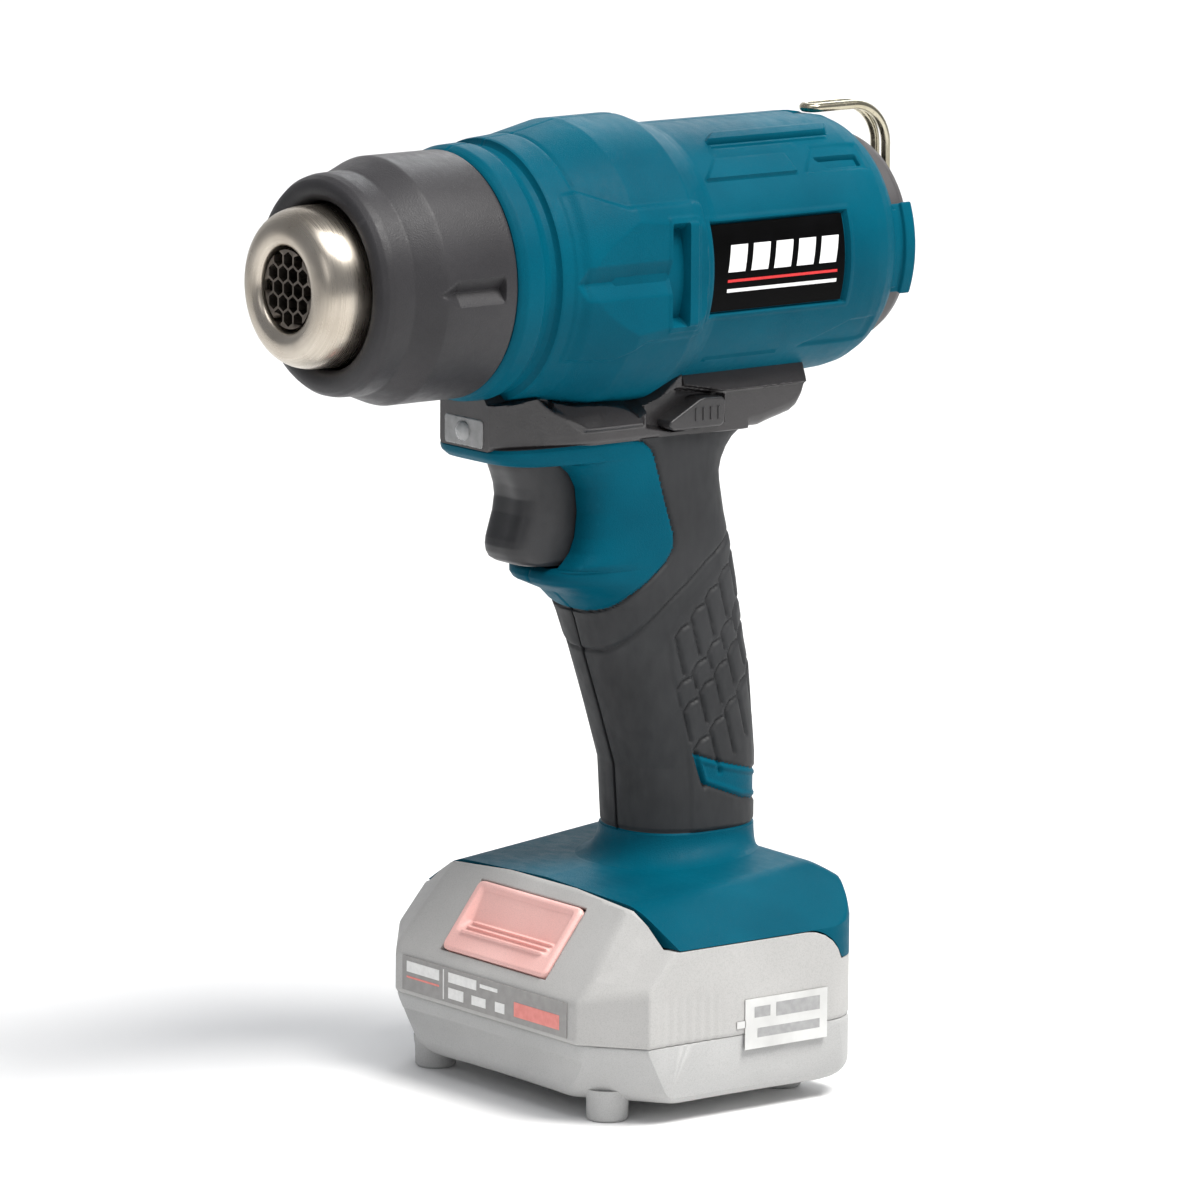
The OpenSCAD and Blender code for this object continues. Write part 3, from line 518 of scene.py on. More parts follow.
BARREL_FRONT = -0.4
BARREL_BACK = -122.5
BARREL_STEP = 0.4
BARREL_PROFILE = [
    (-0.4, 30.7), (-0.9, 31.3), (-2.6, 32.2), (-7.4, 32.4), (-8.3, 31.6), (-10.2, 31.1), (-11.9, 31.6),
    (-12.3, 33.0), (-12.9, 33.3), (-17.4, 33.6), (-20.8, 33.9), (-34.4, 36.7), (-52.6, 36.8),
    (-60.2, 33.9), (-62, 33.5), (-109, 33.4), (-113, 33.2), (-116.5, 32.6), (-119.5, 31.3),
    (-121.6, 29.6), (-122.5, 28.4),
]
SIDE_SLOPE = [(-12.9, 33.2), (-16.4, 33.6), (-34.8, 37.1), (-56.0, 36.2), (-59.5, 33.9)]
TAB_OUTER = 30.2
HOUSING_R = 33.5
SIDE_FLAT = 35.4
SLOT_R = 32.2
SEAT_R = 32.35


def along(table, x):
    """Straight-line values of a table of (station, value) pairs."""
    pairs = sorted(table)
    return np.interp(x, [p[0] for p in pairs], [p[1] for p in pairs])


def turn_grid(stations, steps):
    """Angles round the barrel, and grids of the stations and of the degrees up from level."""
    turn = (np.arange(steps) + 0.5) / steps * 2 * math.pi
    up = np.degrees(np.arcsin(np.sin(turn)))
    return turn, *np.meshgrid(stations, up, indexing="ij")


def turned_rings(path, turn):
    """Rings of points about the barrel axis, one for each (x, radius) of a path."""
    return np.array([[[x, r * math.cos(t), r * math.sin(t)] for t in turn] for x, r in path])


def between(value, low, low_end, high, high_end):
    """Smooth rise from low to low_end and fall from high to high_end."""
    return ramp(value, low, low_end) * (1 - ramp(value, high, high_end))


def patch(x, back, front, back_soft, front_soft):
    """1 between two stations along the barrel, each with its own soft edge inside."""
    return ramp(front - x, 0, front_soft) * ramp(x - back, 0, back_soft)


def plate(x, z, back, front, soft, edge, edge_end):
    """1 on a rectangle of the barrel's side, as far above the axis as below it."""
    return band(x, back, front, soft) * (1 - ramp(np.abs(z), edge, edge_end))


def barrel_radius(x, high):
    """Radius of the housing at x, at so many degrees up from level on either side."""
    z = HOUSING_R * np.sin(np.radians(high))
    base = along(BARREL_PROFILE, x)
    # side boss with a chamfered upper and lower edge
    top_edge = along([(-60, 30), (-33, 30), (-27, 35), (-20.8, 41), (-14, 41)], x)
    low_edge = along([(-60, -27), (-38, -28), (-30, -36), (-14, -39)], x)
    within = ramp(top_edge - high, 0, 3.2) * ramp(high - low_edge, 0, 3.2)
    boss = np.maximum(along(SIDE_SLOPE, x) + 0.3 - base, 0.0) + 0.75 * band(x, -55.6, -19, 3.0)
    r = base + boss * within * band(x, -56.2, -16.2, 0.8)
    # crease where the slope to the bulge starts over the boss
    r = r - 0.25 * np.exp(-((x + 20.9) / 0.5) ** 2) * ramp(high, 40, 44)
    # the bulge is flat on its sides, with a level V groove that starts in a point
    flat = SIDE_FLAT / np.cos(np.radians(high))
    r = r - np.maximum(r - flat, 0) * band(x, -56.5, -17, 1.0)
    valley = np.clip(1 - np.abs(z + 0.3) / 4.1, 0, 1) - np.clip((x + 19.3) / 2.9, 0, 1)
    r = r - 1.9 * np.clip(valley, 0, 1) * (x > -46)
    # air slot with its bracket and the pad behind it
    r = r + 0.35 * plate(x, z, -53.8, -44.2, 0.7, 12.6, 13.2)
    r = r + 0.6 * plate(x, z, -52.9, -49.6, 0.6, 11.0, 11.8)
    slot = plate(x, z, -49.6, -45.3, 0.5, 10.9, 11.5)
    r = r * (1 - slot) + SLOT_R * slot
    # flat seat of the side label inside a bevelled frame
    seat = plate(x, z, -103.2, -59.0, 0.5, 11.5, 12.0)
    lip = plate(x, z, -104.6, -57.6, 0.9, 12.5, 13.3)
    r = r + 0.25 * lip * (1 - seat)
    r = r * (1 - seat) + SEAT_R * seat
    # diagonal step from the boss to the tilted facet
    start = along([(28, -55.5), (31, -56.5), (40, -62.3), (52, -69)], high)
    end = along([(40, -92.4), (51, -91.8)], high)
    facet = patch(x, end, start, 0.9, 0.9) * between(high, 39.2, 40.2, 50.5, 52)
    r = r + facet * (0.25 + 0.75 * np.clip((51 - high) / 11, 0, 1))
    shelf = patch(x, -98, start, 4, 1.2) * between(high, 51, 54, 56, 58)
    r = r + 0.35 * shelf
    # long rail near the top, pointed in front, with a groove under it
    nose = along([(57, -69.5), (63, -70.5), (68, -74), (70, -76)], high)
    tail = along([(57, -107.5), (68, -111.5)], high)
    span = patch(x, tail, nose, 0.8, 0.8)
    r = r + span * 0.95 * between(high, 61.6, 62.6, 67.6, 68.8)
    r = r - span * 0.7 * between(high, 59.6, 60.4, 61.2, 61.8)
    r = r + span * 0.45 * between(high, 57.4, 58.2, 59.2, 59.8)
    # sunken field round the small slot
    field = patch(x, -116.5, along([(38, -93.5), (52, -99.5)], high), 1.2, 1.4)
    field = field * between(high, 38.5, 40.5, 52.5, 54.5)
    r = r - 0.55 * field
    pit = patch(x, -114.2, along([(41, -102.8), (48, -99.4)], high), 0.6, 0.6)
    pit = pit * between(high, 41.2, 42.2, 46.8, 47.6)
    r = r - 1.3 * pit
    # low creases on the underside
    r = r + 0.55 * patch(x, -88, -64, 0.8, 0.8) * band(high, -47.8, -45.4, 1.2)
    dent = ramp(along([(-45, -92.5), (-31, -107)], high) - x, 0, 1.5) * band(high, -44, -31, 2.0)
    r = r - 0.6 * dent * ramp(x + 117, 0, 3)
    # tab over the edge of the rear cap
    tab = ramp(-119.6 - x, 0, 0.6) * (1 - ramp(np.abs(z), 11.2, 11.9))
    r = np.maximum(r, tab * (TAB_OUTER - 1.1 * ramp(x, -121.2, -119.8)))
    return r


def barrel_skin():
    stations = np.arange(BARREL_FRONT, BARREL_BACK, -BARREL_STEP)
    stations = np.append(stations, BARREL_BACK)
    turn, x, high = turn_grid(stations, 560)
    r = barrel_radius(x, high)
    top_y = r * np.cos(turn)
    seam = np.exp(-((top_y / 0.35) ** 2))
    r = r - 0.3 * seam
    z = r * np.sin(turn)
    notch = (1 - ramp(np.abs(top_y), 4.1, 4.6)) * (z > 0) * ramp(-108 - x, 0, 0.5)
    z = np.where(notch > 0, np.minimum(z, z * (1 - notch) + 31.9 * notch), z)
    outer = np.stack([x, r * np.cos(turn), z], -1)
    inner_path = [
        (BARREL_BACK, 27.4), (-116, 27.4), (-114, 30.6), (-60, 30.6), (-54, 34), (-28, 34), (-20, 30),
        (-13, 28), (BARREL_FRONT, 28),
    ]
    mesh = skin("barrel_skin", np.concatenate([outer, turned_rings(inner_path, turn)]), close_rows=True)
    place_object("barrel_skin", mesh, "teal_shell", "tool", 28, replaced=("housing_left", "housing_right"))


def rear_tabs():
    """Small plates that carry each side's tab over the rear cap."""
    for side, name in ((1, "rear_tab_left"), (-1, "rear_tab_right")):
        turn = np.radians(np.linspace(-23.2, 22.8, 41))
        rows = [
            (-119, 27.9), (-119, 29.2), (-124, 29.4), (-124.3, 30.4), (-127.2, 30.4), (-127.8, 29.8),
            (-127.8, 28.0), (-127, 27.75)
        ]
        grid = np.array([[[x, side * r * math.cos(t), r * math.sin(t)] for t in turn] for x, r in rows])
        faces = grid_faces(len(rows), len(turn), True, False).tolist()
        faces.append([i * len(turn) for i in range(len(rows))])
        faces.append([i * len(turn) + len(turn) - 1 for i in range(len(rows))])
        bevel(place_object(name, mesh_from(name, grid.reshape(-1, 3), faces), "teal_shell", "tool"), 0.35, 2)


# ---------------------------------------------------------------- guard and nozzle

GUARD_R = 31.2
GUARD_OUTER = [
    (0.0, 30.8), (0.5, 31.2), (21.3, 31.2), (22.3, 30.9), (28.3, 28.5), (29.2, 28.1), (34.8, 27.9),
    (36.5, 27.5), (37.9, 26.5), (38.5, 24.9),
]
GUARD_INNER = [
    (38.4, 23.2), (37.8, 22.0), (36.6, 21.2), (34.0, 21.1), (32.5, 25.6), (29, 25.8), (21, 28), (2, 28),
    (0, 26)
]


def nozzle_guard():
    stations = np.concatenate([np.arange(0, 28, 0.4), np.linspace(28, 35, 20), np.linspace(35.3, 38.5, 12)])
    turn, x, high = turn_grid(stations, 480)
    r = along(GUARD_OUTER, x)
    z = GUARD_R * np.sin(np.radians(high))
    notch = np.clip(1 - np.abs(z) / 3.4, 0, 1) - np.clip((x - 17.6) / 6.2, 0, 1)
    r = r - 2.7 * np.clip(notch, 0, 1) * (x > 3.7)
    outer = np.stack([x, r * np.cos(turn), r * np.sin(turn)], -1)
    mesh = skin("guard_skin", np.concatenate([outer, turned_rings(GUARD_INNER, turn)]), close_rows=True)
    place_object("guard_skin", mesh, "guard_plastic", "tool", 32, replaced=("nozzle_guard",))


SIEVE_DEPTH = 2.2


def nozzle():
    outer, deep, sheet = 20.3, 40.2, 0.8
    lip = 10.8
    full = 2 / 2.5
    height = NOZZLE_TIP - 0.25 - deep
    turn = np.linspace(0, math.pi / 2, 40)
    radii = lip + 2.8 + (outer - lip - 2.8) * np.abs(np.cos(turn)) ** full
    curve = list(zip(radii.tolist(), (deep + height * np.sin(turn) ** full).tolist()))
    rolled = [
        (lip + 1.9, NOZZLE_TIP - 0.35), (lip + 1.0, NOZZLE_TIP - 0.75), (lip + 0.3, NOZZLE_TIP - 1.3),
        (lip, NOZZLE_TIP - 2.0)
    ]
    back = [(lip, 41), (lip + 0.8, 41)]
    inner = [(r - sheet, x - sheet) for r, x in reversed(curve)]
    profile = (
        [(outer, -20)] + [(outer, x) for x in np.linspace(0, 39.6, 8)] + curve + rolled + back + inner
        + [(outer - sheet, -20)]
    )
    mesh = revolve("nozzle_skin", profile, 192)
    place_object("nozzle_skin", mesh, "nozzle_steel", "tool", 40, replaced=("nozzle_tube",))


def sieve():
    """The outlet sieve, brought forward until it lies just behind the lip."""
    mesh = shell_of("outlet_honeycomb")
    front = max(v.co.x for v in mesh.vertices)
    shift = float(world([NOZZLE_TIP - SIEVE_DEPTH, 0, 0])[0]) - front
    mesh.transform(Matrix.Translation((shift, 0, 0)))
    place_object("outlet_sieve", mesh, "sieve_steel", "tool", replaced=("outlet_honeycomb",))


# ---------------------------------------------------------------- handle

HANDLE_REAR = [
    (-151, -94.3), (-130, -94.6), (-107, -92.6), (-95, -89.7), (-85, -87), (-74, -84.4), (-66, -82),
    (-58, -80.3), (-55, -80), (-52, -80.8), (-49, -82.6), (-46.8, -84.6), (-44.4, -88.4),
]
HANDLE_FRONT = [
    (-151, -55.6), (-147.8, -55.5), (-130.7, -54.2), (-115.2, -49.2), (-99.7, -43.9), (-91.6, -41.4),
    (-88, -39.8), (-84.5, -36), (-82.6, -31.5), (-81, -27.8), (-79.5, -26.9), (-77.8, -27.3),
    (-77.1, -28.4), (-76.8, -29.4), (-75.2, -31.4), (-72.8, -33.6), (-69, -35.2), (-62.5, -36.0),
    (-56, -35.2), (-52.5, -33.2), (-50.2, -30.4), (-48.9, -27), (-48.6, -12.5), (-48.0, -9.3),
    (-46.4, -7.2), (-44.4, -6.6),
]
HANDLE_HALF = [(-151, 17.5), (-133, 17.3), (-112, 17.6), (-92, 17.9), (-84, 17.8), (-44, 17.5)]
HANDLE_MIDDLE = -66
SIDE_WRAP = 8.5
SLOT_HALF = 8.6
SLOT_FLOOR = -46.8
SLOT_TOP = -48.9
SLOT_LOW = -76.8
RUBBER_LOW = -147.8
PANEL_EDGE = [
    (-5, -44.0), (-46.5, -44.0), (-50.3, -44.9), (-52.7, -46.8), (-53.9, -49.4), (-57.1, -60.4),
    (-60.0, -69.6), (-60.1, -72.0), (-59.2, -74.4), (-57.4, -76.7), (-52.5, -80.6), (-47.0, -84.2),
    (-42.5, -88.0), (-36, -91.4), (-20, -91.6),
]
PANEL = PANEL_EDGE + [(-5, -91)]
ARC_GROOVE = [
    (-88, -66.5), (-82, -70.5), (-76, -74.4), (-70.2, -78), (-65, -82.3), (-58.6, -86.8), (-53.2, -91.4),
    (-49, -95.4), (-45.2, -99.4), (-42, -100.6),
]
INSERT = [(-67.4, -127.2), (-76, -130.2), (-100, -136.6), (-100, -143.6), (-83.6, -140.4), (-70.6, -135.4)]
# Scale rows: first groove's top, groove length, number of scales
SCALE_ROWS = [
    ((-75.4, -82.8), 9.6, 4), ((-76.2, -96.8), 4.2, 4), ((-78.6, -102.6), 7.6, 4),
    ((-82.2, -112.6), 11.2, 4)
]
SCALE_STEP = (4.8, -4.5)
SCALE_LEAN = 0.3


def scale_paths():
    """Grooves of the scale pattern: up the front of each scale, then back over its top."""
    paths = []
    for (x, z), length, count in SCALE_ROWS:
        for i in range(-3, count):
            top = (x + i * SCALE_STEP[0], z + i * SCALE_STEP[1])
            foot = (top[0] - SCALE_LEAN * length, top[1] - length)
            paths.append([foot, top, (top[0] - 1.6, top[1] + 2.2), (top[0] - 4.0, top[1] + 3.2)])
    return paths


# Sunk screw places on the right side: x, z and depth
HANDLE_WELLS = [(-73, -53, 2.1), (-57, -88, 4.3), (-76, -146, 4.7)]
SADDLE_WELLS = [(-88, -37.5, 2.9), (-23, -41, 1.2)]


def screw_wells(x, z, wells):
    deep = np.zeros(np.shape(x))
    for well_x, well_z, depth in wells:
        deep = np.maximum(deep, depth * (1 - ramp(np.hypot(x - well_x, z - well_z), 2.75, 3.2)))
    return deep


# How square the front half of a section is, from the bottom up
FRONT_POWER = [
    (-100, 2.4), (-90, 2.6), (-82, 2.8), (-77.5, 3.4), (-75.5, 5.5), (-48.9, 6.0), (-48.6, 5.2),
    (-44, 5.2),
]


def handle_half_section(z):
    """Points of half a section at height z, from the middle of the back round to the front."""
    rear, front, half = (float(along(t, z)) for t in (HANDLE_REAR, HANDLE_FRONT, HANDLE_HALF))
    slotted = SLOT_LOW < z < SLOT_TOP
    middle = -62.0 if z > -88 else (rear + front) / 2
    middle = float(along([(-100, (rear + front) / 2), (-86, -62.0)], z)) if -100 < z < -86 else middle
    rear_power = float(along([(-100, 2.5), (-84, 3.2), (-44, 3.4)], z))
    front_power = float(along(FRONT_POWER, z))
    end = math.asin(min(1.0, (SLOT_HALF / half)) ** (front_power / 2)) if slotted else 0.0
    a = np.linspace(0, math.pi / 2, 200)
    back_x = middle - (middle - rear) * np.cos(a) ** (2 / rear_power)
    back_y = half * np.sin(a) ** (2 / rear_power)
    b = np.linspace(math.pi / 2, end, 200)
    fore_x = middle + (front - middle) * np.abs(np.cos(b)) ** (2 / front_power)
    fore_y = half * np.abs(np.sin(b)) ** (2 / front_power)
    x = np.concatenate([back_x, fore_x[1:]])
    y = np.concatenate([back_y, fore_y[1:]])
    length = np.concatenate([[0], np.cumsum(np.hypot(np.diff(x), np.diff(y)))])
    # columns keep their place along the side as the front moves
    split = length[199]
    steady = float(np.interp(min(-42.0, front - 6.0), x[199:], length[199:]))
    parts = ((0, split, 71), (split, steady, 41), (steady, length[-1], 51))
    stops = np.concatenate([[0.0]] + [np.linspace(start, end, count)[1:] for start, end, count in parts])
    x, y = np.interp(stops, length, x), np.interp(stops, length, y)
    deep = np.linspace(0, 1, 9)[1:]
    floor_x = SLOT_FLOOR if slotted else x[-1]
    wall = np.stack([x[-1] + (floor_x - x[-1]) * deep, np.full(8, y[-1])], 1)
    across = np.stack([np.full(4, floor_x), y[-1] * np.linspace(1, 0, 5)[1:]], 1)
    return np.concatenate([np.stack([x, y], 1), wall, across]), stops


def outward(x, y, middle):
    """Unit directions square to a line of points, away from (middle, 0)."""
    tx, ty = np.gradient(x), np.gradient(y)
    size = np.hypot(tx, ty)
    nx, ny = -ty / size, tx / size
    turned = np.where(nx * (x - middle) + ny * y < 0, -1, 1)
    return nx * turned, ny * turned


def handle_grid():
    levels = list(np.arange(-151.0, -44.0, 0.45))
    levels += [SLOT_LOW, SLOT_LOW - 0.05, SLOT_TOP, SLOT_TOP + 0.05, -48.6, -48.3, -77.1, -77.5, -44.05]
    levels = np.array(sorted(levels))
    rows = []
    for z in levels:
        half, stops = handle_half_section(z)
        x, y = half[:, 0], half[:, 1]
        count = len(stops)
        nx, ny = outward(x[:count], y[:count], HANDLE_MIDDLE)
        rear = float(along(HANDLE_REAR, z))
        level = np.full(count, z)
        # place along the side: equal to x on the flat, running on round the back
        side_x = np.minimum(x[:count], rear - SIDE_WRAP + stops)
        raised = handle_relief(side_x, x[:count], y[:count], level)
        fade = ramp(y[:count], 0.0, 1.2)
        sides = []
        for sunk in (0.0, screw_wells(x[:count], level, HANDLE_WELLS)):
            side_x, side_y = x.copy(), y.copy()
            side_x[:count] += nx * (raised - sunk)
            side_y[:count] = np.maximum(side_y[:count] + ny * (raised - sunk) * fade, 0)
            sides.append((side_x, side_y))
        full_x = np.concatenate([sides[0][0], sides[1][0][-2:0:-1]])
        full_y = np.concatenate([sides[0][1], -sides[1][1][-2:0:-1]])
        rows.append(np.stack([full_x, full_y, np.full(len(full_x), z)], 1))
    return np.array(rows)


SCALES = scale_paths()


def handle_relief(s, x, y, z):
    """Height of the handle's relief over its plain surface."""
    h = np.zeros(np.shape(x))
    panel_in = depth_in(x, z, PANEL)
    h += 0.35 * ramp(panel_in, 0.0, 1.1)
    h += groove(x, z, PANEL_EDGE, 0.9, 0.75) * (z < -43.9)
    black = (panel_in < -0.4) & (z > RUBBER_LOW)
    h += np.where(black, groove(s, z, ARC_GROOVE, 1.1, 0.8), 0)
    # the skin below the arc groove stands a little lower
    arc = along(ARC_GROOVE, s)
    below = ramp(arc - z, 0.0, 1.0) * black
    h -= 0.25 * below
    zone = below * ramp(z, -137.5, -136) * ramp(-58.6 - s, 0, 1.0)
    pattern = np.zeros(np.shape(x))
    for path in SCALES:
        pattern = np.minimum(pattern, groove(s, z, path, 1.15, 0.8))
    edge = along([(-137, -66.5), (-125, -65.4), (-106, -60), (-96, -58.2), (-88, -64), (-80, -74)], z)
    pad = ramp(edge - s, 0, 1.4) * below
    h += pad * (0.35 + pattern * zone)
    h += groove(s, z, INSERT + INSERT[:1], 0.9, 0.6) * (z < -120)
    inset = depth_in(s, z, INSERT)
    h -= 0.35 * band(inset, 1.6, 90, 0.6)
    h -= 0.5 * np.exp(-(((z - RUBBER_LOW) / 0.5) ** 2))
    # mould seam up the front
    seam = np.exp(-((y / 0.45) ** 2)) * (x > -66) * (z < -76.5)
    return h - 0.4 * seam


def handle():
    grid = handle_grid()
    rows, columns = grid.shape[:2]
    faces = grid_faces(rows, columns)
    points = grid.reshape(-1, 3)
    centre = points[faces].mean(1)
    x, z = centre[:, 0], centre[:, 2]
    rear = along(HANDLE_REAR, z)
    s = np.where(x < rear + 7, np.minimum(x, rear - SIDE_WRAP + np.abs(centre[:, 1])), x)
    teal = inside(x, z, PANEL) | (z < RUBBER_LOW)
    insert = inside(s, z, INSERT)
    for name, material, keep, caps, replaced in (
        ("handle_core", "teal_shell", teal, (0,), ()),
        ("handle_rubber", "grip_rubber", ~teal & ~insert, (-1,), ("grip_left", "grip_right")),
        ("handle_insert", "teal_shell", insert & ~teal, (), ()),
    ):
        mesh = skin(name, grid, keep=keep, caps=caps)
        loose = bmesh.new()
        loose.from_mesh(mesh)
        bmesh.ops.delete(loose, geom=[v for v in loose.verts if not v.link_faces], context="VERTS")
        loose.to_mesh(mesh)
        loose.free()
        place_object(name, mesh, material, "tool", 40, replaced=replaced)


# ---------------------------------------------------------------- saddle under the barrel

SADDLE_TOP = [
    (-103, -28.6), (-63, -28.3), (-48.6, -33.0), (-29, -33.0), (-19, -31.2), (-13, -32.2), (-7, -32.6)
]
SADDLE_LOW = [
    (-103.2, -30), (-102.2, -35), (-101, -38.6), (-99.6, -40.6), (-98, -41.6), (-95, -42.4), (-91, -43.4),
    (-88, -44.3), (-80, -44.5), (-7, -44.5),
]
BLOCK_FRONT = [
    (-17.5, -30), (-21, -33.6), (-31.3, -41.2), (-50.2, -41.2), (-50.4, -36), (-48.9, -32), (-30, -32)
]
BLOCK_REAR = [(-61.5, -26), (-62.4, -31.9), (-71.2, -33.5), (-74.9, -34.3), (-110, -34.3), (-110, -26)]
LOCK_POCKET = [
    (-51.0, -35.6), (-60.4, -31.8), (-71.2, -33.6), (-75.9, -34.6), (-75.9, -42.0), (-59, -43.2),
    (-51.0, -41.4)
]
SADDLE_REACH = 33.4
SADDLE_HALF = 17.5
SADDLE_TAPER = 7.3
BLOCK_TILT = 0.42
SADDLE_STEPS = 60


def saddle():
    stations = np.concatenate(
        [np.arange(-103.2, -98, 0.3), np.arange(-98, -7.4, 0.45), np.arange(-7.4, -6.5, 0.2)]
    )
    share = np.linspace(0, 1, SADDLE_STEPS)
    rows = []
    for x in stations:
        level = np.full(SADDLE_STEPS, x)
        top = float(along(SADDLE_TOP, x))
        low = float(along(SADDLE_LOW, x))
        reach = math.sqrt(max(SADDLE_REACH**2 - top * top, 81.0))
        z = top + (low - top) * share
        width = SADDLE_HALF - SADDLE_TAPER * float(np.clip((x + 36) / 29.5, 0, 1)) ** 1.4
        in_front = ramp(depth_in(level, z, BLOCK_FRONT), 0, 1.6)
        wide = width + 1.7 * in_front * (width > 15.4)
        wide = wide + 1.3 * ramp(depth_in(level, z, BLOCK_REAR), 0, 0.7)
        wide = wide - BLOCK_TILT * np.clip(z + 34.3, 0, 6) * (x < -62)
        wide = wide - BLOCK_TILT * np.clip(z + 41.0, 0, 9) * in_front
        wide = wide - 2.6 * ramp(depth_in(level, z, LOCK_POCKET), 0, 0.8)
        wide = wide - 0.3 * np.exp(-(((z - low - 0.3) / 0.5) ** 2)) * (x > -55)
        chamfer = reach + 0.35 + (top - z) * float(along([(-60, 1.25), (-48, 1.6), (-36, 5), (-7, 6)], x))
        y = np.minimum(wide, chamfer)
        tail = 3.2 if x < -84 else 0.3
        soft = np.sqrt(np.clip(1 - (1 - np.clip((z - low) / tail, 0, 1)) ** 2, 0, 1))
        y = y - (1 - soft) * tail
        ends = ramp(np.array(x), -103.4, -101.4)
        y = y * (0.8 + 0.2 * math.sqrt(float(ends)))
        z_all = np.concatenate([[top + 3.5], z, [low, low]])
        y_all = np.concatenate([[max(reach - 2.5, 4.0)], y, [y[-1] * 0.5, 0.0]])
        y_right = y_all - screw_wells(np.full(len(z_all), x), z_all, SADDLE_WELLS) * (y_all > 12)
        rows.append(np.stack([
            np.full(2 * len(z_all) - 1, x),
            np.concatenate([y_all, -y_right[-2::-1]]),
            np.concatenate([z_all, z_all[-2::-1]]),
        ], 1))
    mesh = skin("saddle_trim", np.array(rows), caps=(0, -1))
    place_object("saddle_trim", mesh, "trim_plastic", "tool", 30)


def lock_button():
    outline = [
        (-73.9, -41.4), (-72.9, -42.4), (-57.6, -42.4), (-56.2, -41.2), (-56.4, -40.0), (-65.8, -35.0),
        (-67.4, -34.6), (-73.4, -34.9), (-74.2, -36.2)
    ]
    mesh = prism("lock_slider", outline, 1, -20.3, 20.3)
    bevel(place_object("lock_slider", mesh, "lock_plastic", "lock", replaced=("lock_button",)), 0.8, 3, 40)


def lock_ribs():
    """Four tapered grip ribs on each end of the lock button."""
    for side, name in ((1, "lock_ribs_left"), (-1, "lock_ribs_right")):
        points, faces = [], []
        for i in range(4):
            x = -71.8 + i * 2.4
            base = len(points)
            for y in (20.0, 20.6):
                inset = 0.25 if y > 20.3 else 0.0
                for px, pz in (
                    (x - 0.5 + inset, -40.6 + inset), (x + 0.5 - inset, -40.6 + inset),
                    (x + 0.5 - inset, -36.9 - inset), (x - 0.5 + inset, -36.9 - inset)
                ):
                    points.append([px, side * y, pz])
            faces += [
                [base + a for a in f] for f
                in ((0, 1, 5, 4), (1, 2, 6, 5), (2, 3, 7, 6), (3, 0, 4, 7), (4, 5, 6, 7), (0, 3, 2, 1))
            ]
        place_object(name, mesh_from(name, points, faces), "lock_plastic", "lock")


LAMP_HEIGHT = -40.2


def led_lens():
    outline = [
        (-8.0, -43.4), (-7.4, -44.0), (7.4, -44.0), (8.0, -43.4), (8.0, -37.2), (7.4, -36.6),
        (-7.4, -36.6), (-8.0, -37.2),
    ]
    mesh = prism("lens_window", outline, 0, -8.9, -6.25)
    bevel(place_object("lens_window", mesh, "clear_lens", "tool", replaced=("led_lens",)), 0.5, 3, 40)
    ring = [(0.001, -4.6), (1.1, -4.75), (2.0, -5.2), (2.6, -5.9), (2.7, -6.5), (0.001, -6.5)]
    dome = revolve("lens_dome", ring, 48)
    dome.transform(Matrix.Translation((0, 0, LAMP_HEIGHT * MM)))
    place_object("lens_dome", dome, "clear_lens", "tool")


TRIGGER_FACE = [
    (-76.0, -25.5), (-75.8, -22.6), (-75.2, -20.4), (-74.2, -18.7), (-72.6, -17.7), (-70.8, -17.4),
    (-69, -17.6), (-66, -18.5), (-62.5, -19.6), (-58.5, -20.2), (-55.5, -19.8), (-53, -19.0),
    (-51, -18.2), (-49.8, -17.9), (-49.3, -18.6),
]


def trigger():
    rows = []
    for z in np.linspace(-76.0, -49.3, 90):
        front = float(along(TRIGGER_FACE, z)) + 0.6
        half = 8.2 - 0.7 * (1 - ramp(np.array(z), -76.0, -74.6)) - 0.6 * ramp(np.array(z), -50.0, -49.3)
        a = np.linspace(-math.pi / 2, math.pi / 2, 61)
        depth = 6.6
        x = front - depth + depth * np.abs(np.cos(a)) ** (2 / 3.1)
        y = half * np.sign(np.sin(a)) * np.abs(np.sin(a)) ** (2 / 3.4)
        dish = 0.7 * np.exp(-((y / 4.2) ** 2)) * band(z, -70, -54, 8.0)
        x = x - dish
        back = [(-40, float(half) - 0.2), (-40, -(float(half) - 0.2))]
        rows.append([[px, py, z] for px, py in list(zip(x, y)) + back])
    mesh = skin("trigger_shell", np.array(rows), caps=(0, -1))
    place_object("trigger_shell", mesh, "trigger_plastic", "trigger", 40, replaced=("trigger",))


# ---------------------------------------------------------------- foot of the handle

FOOT_LOW = -168.0
FOOT_HALF = 53.4
FOOT_BACK = -96.5
FOOT_CORNER = 13.0
FOOT_RIDGE = 38.0
FOOT_POINTS = 420
FOOT_MIDDLE = np.array([-66.0, 0.0])
CORNER_X = FOOT_BACK + FOOT_CORNER
CORNER_Y = FOOT_HALF - FOOT_CORNER
MIRROR = np.array([1, -1, 1])


def corner_arc(radius):
    """Points round the left back corner of foot and pack, from the side to the back."""
    turn = np.radians(np.linspace(0, 90, 24))
    return [(CORNER_X - radius * math.sin(t), CORNER_Y + radius * math.cos(t)) for t in turn]


def mirrored(half):
    """Closed loop of a half outline on the left and its mirror image."""
    return half + [(x, -y) for x, y in half[-2:0:-1]]


def box_outline(start, end, low, high):
    return [(start, low), (end, low), (end, high), (start, high)]


